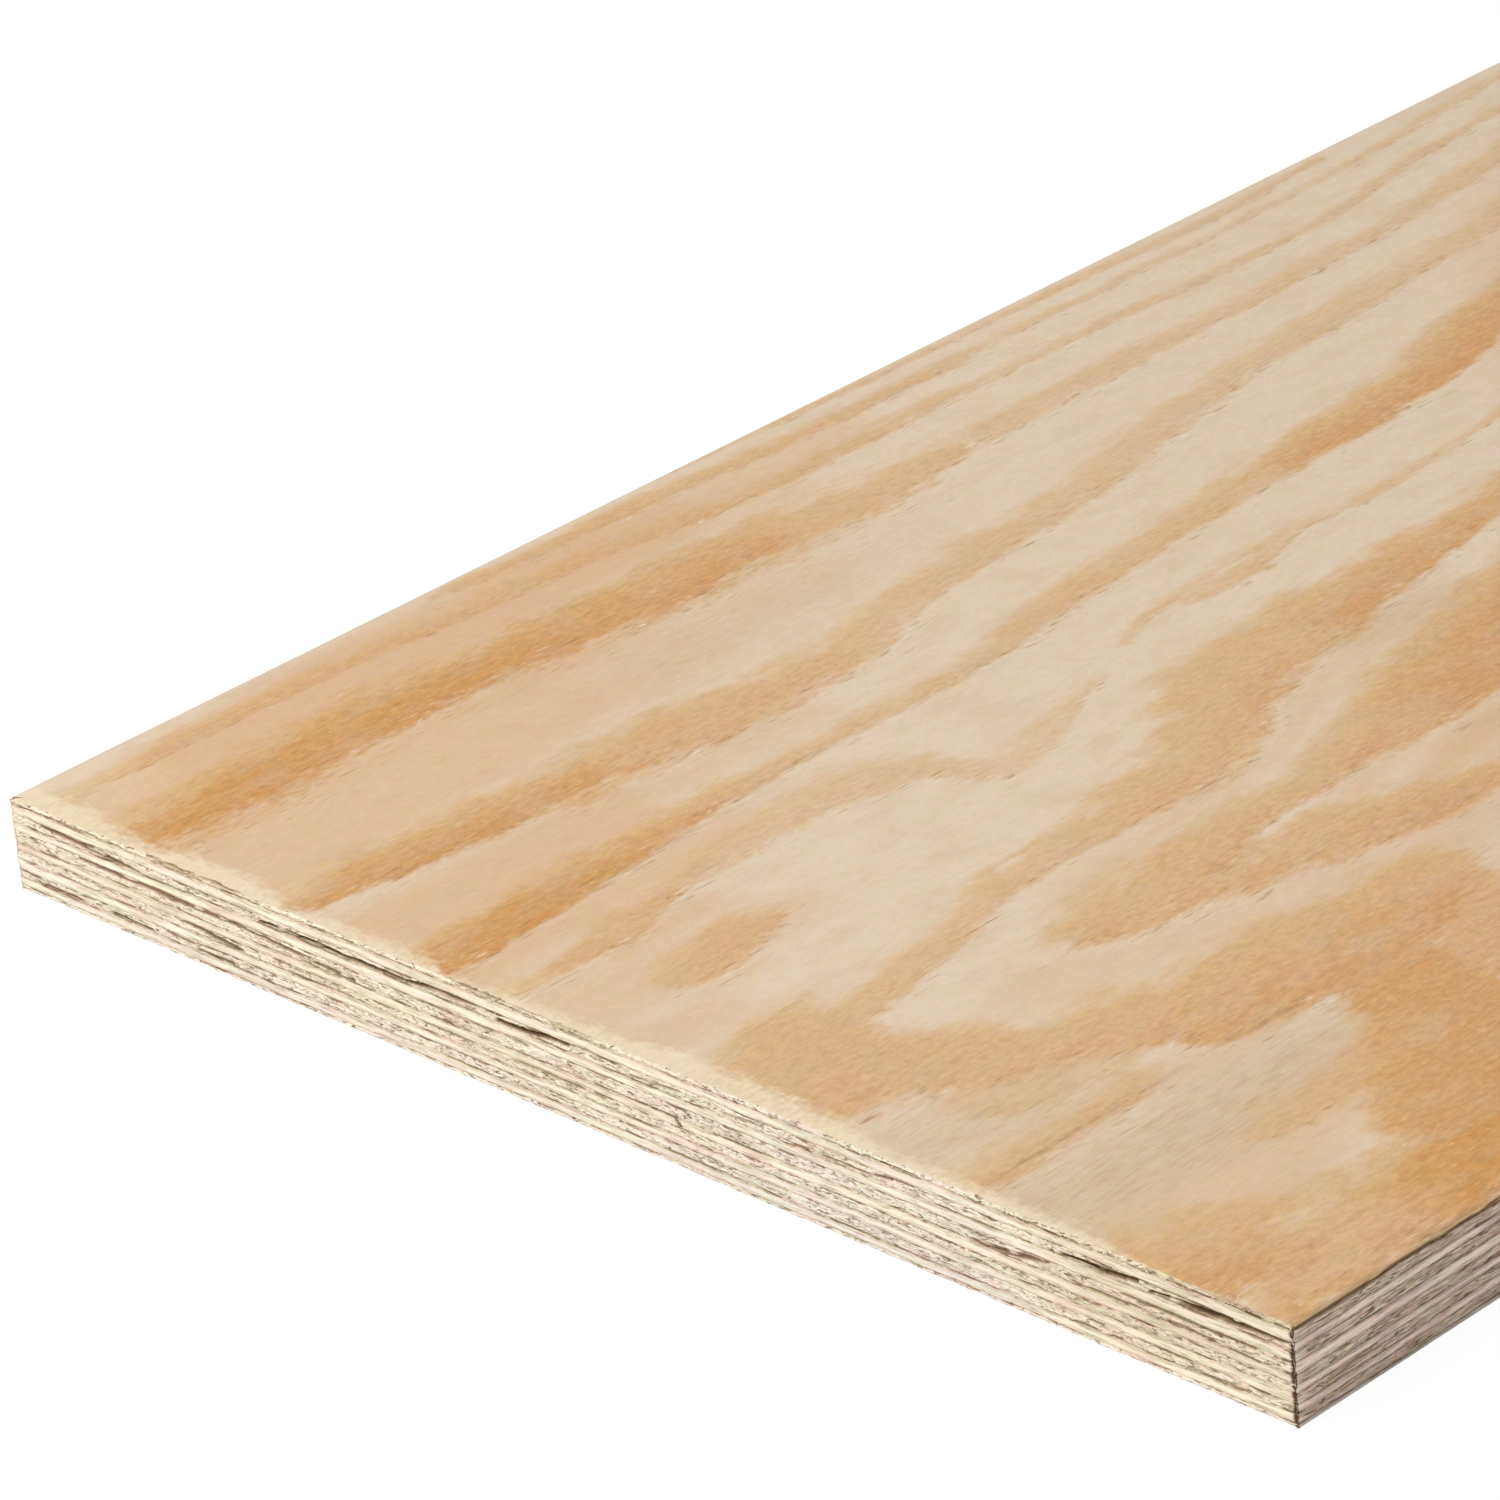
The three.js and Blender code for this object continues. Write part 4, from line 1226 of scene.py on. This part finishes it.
def sanded_face_material():
    """Pine, peeled and sanded bare: honey flames on pale earlywood, soft along the grain, matt."""
    colours = settings("ply_colours")
    material, tree, shader = new_material("sanded pine veneer")
    place = add_node(tree, "ShaderNodeTexCoord", output="Object")
    edge, depth, side, warmth, greyness, bleach, line, fray, from_end, from_side = attributes(
        tree, "latewood_edge", "latewood_depth", "latewood_side", "warmth", "greyness", "bleach",
        "growth_line", "fray", "end_distance", "side_distance")
    strength = latewood_strength(tree, place, edge, depth, side)
    soft = add_node(tree, "ShaderNodeMapRange", {"Value": strength, "From Max": 0.56})
    deep = add_node(tree, "ShaderNodeMapRange", {"Value": strength, "From Min": 0.46, "From Max": 0.98})
    # Latewood is straw where it sets in, which is a streak's left side, and in clouds elsewhere.
    setting_in = add_node(tree, "ShaderNodeMapRange", {"Value": side, "From Min": 0.4, "From Max": -0.8})
    drift = patches(tree, place, (7, 15, 15), 0.44, 0.64, 0.6, detail=3.0, shift=22)
    setting_in = add_node(tree, "ShaderNodeMath", {0: setting_in, 1: drift}, operation="MAXIMUM")
    straw = add_node(tree, "ShaderNodeMath", {0: soft, 1: setting_in}, operation="MULTIPLY")
    line = patches(tree, place, (0.6, 3, 3), 0.3, 0.6, line, detail=3.0, shift=10)

    # The mottle, fibres and flecks of sanded softwood, drawn a little coarse so that they show.
    mottle = patches(tree, place, (1.0, 2.2, 2.2), 0.3, 0.7, 0.06, detail=3.0, shift=3)
    cool = patches(tree, place, (6, 15, 15), 0.45, 0.7, 0.3, detail=3.0, shift=9)
    grain = add_node(tree, "ShaderNodeMapRange", {"Value": strength, "To Min": 0.05, "To Max": 0.14})
    grain = add_node(tree, "ShaderNodeMath", {0: greyness, 1: 0.3, 2: grain}, operation="MULTIPLY_ADD")
    fibre = patches(tree, place, (0.5, 5, 5), 0.42, 0.7, grain, detail=4.0, roughness=0.6, shift=4)
    bright = add_node(tree, "ShaderNodeMapRange", {"Value": strength, "To Min": 0.15, "To Max": 0.45})
    light_fleck = patches(tree, place, (0.8, 2.4, 2.4), 0.58, 0.8, bright, detail=3.0, shift=6)
    fuzz = frayed_share(tree, place, from_end, fray)
    lifted, pit_shadow, tick = torn_shares(tree, place, edge, side, fuzz)
    rubbed = rubbed_share(tree, place, from_side)
    wood = layer_colours(tree, colours.earlywood, (
        (warmth, colours.warm_earlywood),
        (greyness, colours.cool_cast),
        (soft, colours.honey),
        (straw, colours.straw),
        (deep, colours.amber),
        (bleach, colours.lifted_fibre),
        (cool, colours.cool_cast),
        (mottle, colours.honey),
        (fibre, colours.growth_line),
        (line, colours.growth_line),
        (tick, colours.growth_line),
        # painted shadow in the pits between lifted fibres
        (pit_shadow, colours.growth_line),
        (light_fleck, colours.fleck),
        (lifted, colours.lifted_fibre),
        (fuzz, colours.frayed),
        (rubbed, colours.rubbed)))
    # Clouds a few millimetres wide lean towards rose and towards straw. Pores darken the latewood most.
    rosy = patches(tree, place, (3, 6, 6), 0.45, 0.7, 1.0, detail=3.0, roughness=0.6, shift=13)
    strawy = patches(tree, place, (3, 6, 6), 0.45, 0.7, 1.0, detail=3.0, roughness=0.6, shift=14)
    pores = add_node(tree, "ShaderNodeMapRange", {"Value": strength, "From Max": 0.5, "To Min": 0.3})
    pores = patches(tree, place, (1.1, 2.6, 2.6), 0.35, 0.68, pores, detail=3.0, roughness=0.7, shift=15)
    wood = layer_colours(tree, wood, (
        (rosy, linear("#fffafb")), (strawy, linear("#fdfff6")), (pores, linear("#ece9e6"))), "MULTIPLY")
    height = add_node(tree, "ShaderNodeMath", {0: fibre, 1: mottle}, operation="ADD")
    height = add_node(tree, "ShaderNodeMath", {0: height, 1: lifted}, operation="ADD")
    roughness = add_node(tree, "ShaderNodeMapRange", {"Value": strength, "To Min": 0.68, "To Max": 0.54})
    finish_wood(tree, shader, wood, roughness, height, 0.16)
    return material


def darken_edge(tree, wood, edge_map, glue_reach, fibre_and_light_rim_share, rings):
    """Stains sawn wood along its rings, glue lines and splits, and knocks the upright corners.

    Where the rim share is over 0, pale broken fibres and a painted highlight, where the corner turns towards
    the lamp, border the corners.
    """
    colours = settings("ply_colours")
    glue, split, corner = attributes(tree, "glue_distance", "split", "corner_distance")
    width = patches(tree, edge_map, (6, 0.8, 1), 0.47, 0.68, glue_reach, detail=4.0, roughness=0.65, shift=11)
    stain = add_node(tree, "ShaderNodeMapRange", {
        "Value": glue, "From Min": width, "From Max": 0.0, "To Max": 0.75})
    darkness = stain
    for share in (split, *rings):
        darkness = add_node(tree, "ShaderNodeMath", {0: darkness, 1: share}, operation="MAXIMUM")
    brown = add_node(tree, "ShaderNodeMapRange", {"Value": darkness, "From Max": 0.5, "To Max": 0.8})
    black = add_node(tree, "ShaderNodeMapRange", {
        "Value": darkness, "From Min": 0.4, "From Max": 0.95, "To Max": 0.9})
    redder = patches(tree, edge_map, (38, 5, 1), 0.42, 0.58, 1.0, detail=3.0, shift=18)
    stain_colour = layer_colours(tree, colours.resin, ((redder, colours.dry_resin),))
    # Painted highlight: a pale rim beside the corners, partly broken fibres and partly light where the corner
    # turns towards the lamp.
    fibre_and_light_rim_width = patches(tree, edge_map, (40, 1.4, 1), 0.35, 0.65, 3.9, least=1.1, detail=3.0, shift=17)
    fibre_and_light_rim = add_node(tree, "ShaderNodeMapRange", {
        "Value": corner, "From Min": fibre_and_light_rim_width, "From Max": 0.6, "To Max": fibre_and_light_rim_share})
    corner_width = patches(tree, edge_map, (40, 1.0, 1), 0.24, 0.6, 1.3, detail=4.0, roughness=0.6, shift=12)
    crushed = add_node(tree, "ShaderNodeMapRange", {
        "Value": corner, "From Min": corner_width, "From Max": 0.0, "To Max": 2.2})
    rosy = patches(tree, edge_map, (14, 1.6, 1), 0.46, 0.64, 1.0, detail=4.0, shift=25)
    cool = patches(tree, edge_map, (18, 1.4, 1), 0.46, 0.64, 1.0, detail=4.0, shift=26)
    wood = layer_colours(tree, wood, ((rosy, linear("#fff5f9")), (cool, linear("#f5fcf3"))), "MULTIPLY")
    return layer_colours(tree, wood, (
        (brown, stain_colour), (fibre_and_light_rim, colours.fresh_cut), (black, colours.glue), (crushed, colours.knocked)))


def pale_painted_light_share(tree, tone):
    """How far a place leans towards the paler colour of painted light, 0 to 1, from its tone."""
    return add_node(tree, "ShaderNodeMapRange", {"Value": tone, "From Min": 0.0, "From Max": -0.5})


# How each kind of veneer looks where it is sawn along its grain: its shaded wood, the share of freshly cut
# fibres, how far in millimetres the glue's stain and the wood soaked with it reach at most, and the share of
# pale broken fibres and painted highlight at an upright corner.
SAWN_ALONG = {
    "cross_band": ("#cebca2", 0.9, 0.5, 1.1, 0.0), "long_band": ("#b0938a", 0.5, 0.35, 1.05, 0.8),
    "back_veneer": ("#ad9f92", 0.0, 0.3, 0.4, 0.0), "face_veneer": ("#84693f", 0.0, 0.4, 0.4, 0.0),
}

# The same where it is sawn across its grain: its shaded wood, how strong its rings are, how far in
# millimetres the glue's stain reaches at most, how many times the saw has drawn its roughness out along the
# edge, and the share of pale broken fibres and painted highlight at an upright corner.
SAWN_ACROSS = {
    # The cross band's darker end grain is partly painted shade of end grain in grazing light.
    "cross_band": ("#a1866f", 0.8, 0.4, 2.2, 0.8), "long_band": ("#cdbba1", 0.85, 0.85, 1.0, 0.0),
    "back_veneer": ("#d3c8ba", 0.4, 0.4, 1.0, 0.0), "face_veneer": ("#d2c09f", 0.4, 0.4, 1.0, 0.0),
}


def sawn_along_material(name, colour, shade_hex, fresh_share, glue_reach, soak_reach, fibre_and_light_rim_share):
    """Softwood veneer sawn along its fibres: light in its middle, with fine long lines along the cut."""
    material, tree, shader = new_material(name + " sawn along the grain")
    shade = linear(shade_hex)
    edge_map = add_node(tree, "ShaderNodeUVMap", uv_map="edge_map")
    fibre = patches(tree, edge_map, (7, 0.24, 1), 0.52, 0.74, 0.6, detail=4.0, roughness=0.6, shift=1)
    saw = patches(tree, edge_map, (0.7, 12, 1), 0.55, 0.8, 0.12, shift=3)
    bright = patches(tree, edge_map, (12, 0.4, 1), 0.44, 0.62, fresh_share, detail=3.0, shift=6)
    # The glue has soaked into the wood near it, so only the veneer's middle stays light and smooth.
    soaked = patches(tree, edge_map, (8, 0.8, 1), 0.3, 0.7, soak_reach, least=0.3, detail=4.0, roughness=0.6,
                     shift=8)
    glue, tone = attributes(tree, "glue_distance", "tone")
    soaked = add_node(tree, "ShaderNodeMapRange", {"Value": glue, "From Min": soaked, "From Max": 0.15})
    rough = patches(tree, edge_map, (2.0, 0.34, 1), 0.48, 0.7, 0.62, detail=4.0, roughness=0.65, shift=16,
                    curl=1.0)
    rough = add_node(tree, "ShaderNodeMath", {0: rough, 1: soaked}, operation="MULTIPLY")
    tinted = add_node(tree, "ShaderNodeMath", {0: soaked, 1: 0.7}, operation="MULTIPLY")
    wood = layer_colours(tree, colour, (
        (bright, settings("ply_colours").fresh_cut),
        (patches(tree, edge_map, (16, 1.4, 1), 0.48, 0.7, 0.42, detail=3.0, shift=2), shade),
        (tone, shade),
        # painted light: the lowest veneers' ends and the ends' brightest stretch turn paler
        (pale_painted_light_share(tree, tone), settings("ply_colours").pale_painted_light),
        (tinted, shade),
        (fibre, shade),
        (saw, shade)))
    wood = darken_edge(tree, wood, edge_map, glue_reach, fibre_and_light_rim_share, [rough])
    height = add_node(tree, "ShaderNodeMath", {0: fibre, 1: saw}, operation="ADD")
    roughness = add_node(tree, "ShaderNodeMapRange", {
        "Value": saw, "From Max": 0.12, "To Min": 0.62, "To Max": 0.75})
    finish_wood(tree, shader, wood, roughness, height, 0.2)
    return material


def sawn_across_material(name, colour, shade_hex, ring_strength, glue_reach, drawn, fibre_and_light_rim_share):
    """Softwood veneer sawn across its fibres: rough and mottled, with broken brown rings at a low slant.

    Drawn says how many times the saw has drawn the roughness out along the edge.
    """
    material, tree, shader = new_material(name + " sawn across the grain")
    shade = linear(shade_hex)
    edge_map = add_node(tree, "ShaderNodeUVMap", uv_map="edge_map")
    pores = patches(tree, edge_map, (drawn, 0.35, 1), 0.46, 0.72, 0.4, detail=3.0, shift=4)
    saw = patches(tree, edge_map, (0.6, 4, 1), 0.55, 0.8, 0.2, detail=3.0, roughness=0.6, shift=3)
    bright = patches(tree, edge_map, (6 * drawn, 0.4, 1), 0.44, 0.62, 0.85, detail=4.0, roughness=0.6,
                     shift=6, curl=0.6)
    # Rings of a peeled veneer lie almost flat in it, so they cross its edge at a low slant.
    strong = patches(tree, edge_map, (22, 1.8, 1), 0.36, 0.64, ring_strength, shift=7)
    rings = []
    for slant, curl in ((math.radians(3), 0.4), (math.radians(-3), 0.4), (0.0, 1.8)):
        rings.append(patches(tree, edge_map, (4 * drawn, 0.44, 1), 0.53, 0.72, strong, detail=4.0,
                             roughness=0.65, slant=slant, shift=5, curl=curl))
    torn = patches(tree, edge_map, (2.2 * drawn, 0.6, 1), 0.54, 0.7, 0.66, detail=3.0, roughness=0.6,
                   shift=9, curl=1.6)
    tone, = attributes(tree, "tone")
    wood = layer_colours(tree, colour, (
        (patches(tree, edge_map, (24, 1.6, 1), 0.44, 0.64, 0.42, detail=3.0, shift=2), shade),
        (bright, settings("ply_colours").fresh_cut),
        (tone, shade),
        # painted light: the lowest veneers' ends and the ends' brightest stretch turn paler
        (pale_painted_light_share(tree, tone), settings("ply_colours").pale_painted_light),
        (pores, shade),
        (saw, shade)))
    wood = darken_edge(tree, wood, edge_map, glue_reach, fibre_and_light_rim_share, [torn, *rings])
    height = add_node(tree, "ShaderNodeMath", {0: pores, 1: torn}, operation="ADD")
    roughness = add_node(tree, "ShaderNodeMapRange", {"Value": pores, "To Min": 0.75, "To Max": 0.9})
    finish_wood(tree, shader, wood, roughness, height, 0.3)
    return material


def sawn_materials(kind):
    """Sawn along and sawn across its grain, for one of the kinds of veneer."""
    colours = settings("ply_colours")
    name = "pine " + kind.replace("_", " ")
    group = kind.split("_")[0]
    return [sawn_along_material(name, getattr(colours, group + "_along"), *SAWN_ALONG[kind]),
            sawn_across_material(name, getattr(colours, group + "_across"), *SAWN_ACROSS[kind])]


def lifted_fibre_material():
    """Torn pine fibre: dry, pale and matt, because fresh wood shows on every side of it."""
    material, tree, shader = new_material("torn pine fibre")
    place = add_node(tree, "ShaderNodeTexCoord", output="Object")
    tone = patches(tree, place, (2, 2, 2), 0.35, 0.65, 0.7, shift=1)
    colours = settings("ply_colours")
    wood = layer_colours(tree, colours.lifted_fibre, ((tone, colours.earlywood),))
    roughness = add_node(tree, "ShaderNodeMapRange", {"Value": tone, "To Min": 0.7, "To Max": 0.85})
    finish_wood(tree, shader, wood, roughness, tone, 0.02)
    return material


# ---------------------------------------------------------------- panel and registration

class PLY_PT_panel(bpy.types.Panel):
    """Lists the panel's sizes, colours and builders in the 3D view's sidebar"""
    bl_idname = "PLY_PT_panel"
    bl_label = "Plywood Panel"
    bl_space_type = "VIEW_3D"
    bl_region_type = "UI"
    bl_category = "Plywood"

    def draw(self, context):
        for group in SETTING_GROUPS:
            box = self.layout.box()
            for name in SETTING_GROUPS[group].__annotations__:
                box.prop(getattr(context.scene, group), name)
        for operator in OPERATORS:
            self.layout.operator(operator.bl_idname)


SETTING_GROUPS = {"ply_veneer": VeneerSettings, "ply_splinters": SplinterSettings,
                  "ply_colours": ColourSettings, "ply_stage": StageSettings}
OPERATORS = [PLY_OT_stage, PLY_OT_cross_bands, PLY_OT_long_bands, PLY_OT_outer_veneers, PLY_OT_splinters]


def register():
    for group, settings_class in SETTING_GROUPS.items():
        bpy.utils.register_class(settings_class)
        setattr(bpy.types.Scene, group, PointerProperty(type=settings_class))
    for operator in OPERATORS:
        bpy.utils.register_class(operator)
    bpy.utils.register_class(PLY_PT_panel)


def unregister():
    bpy.utils.unregister_class(PLY_PT_panel)
    for operator in reversed(OPERATORS):
        bpy.utils.unregister_class(operator)
    for group, settings_class in SETTING_GROUPS.items():
        delattr(bpy.types.Scene, group)
        bpy.utils.unregister_class(settings_class)


def main():
    register()
    bpy.ops.plywood.stage()
    bpy.ops.plywood.cross_bands()
    bpy.ops.plywood.long_bands()
    bpy.ops.plywood.outer_veneers()
    bpy.ops.plywood.splinters()


if __name__ == "__main__":
    main()
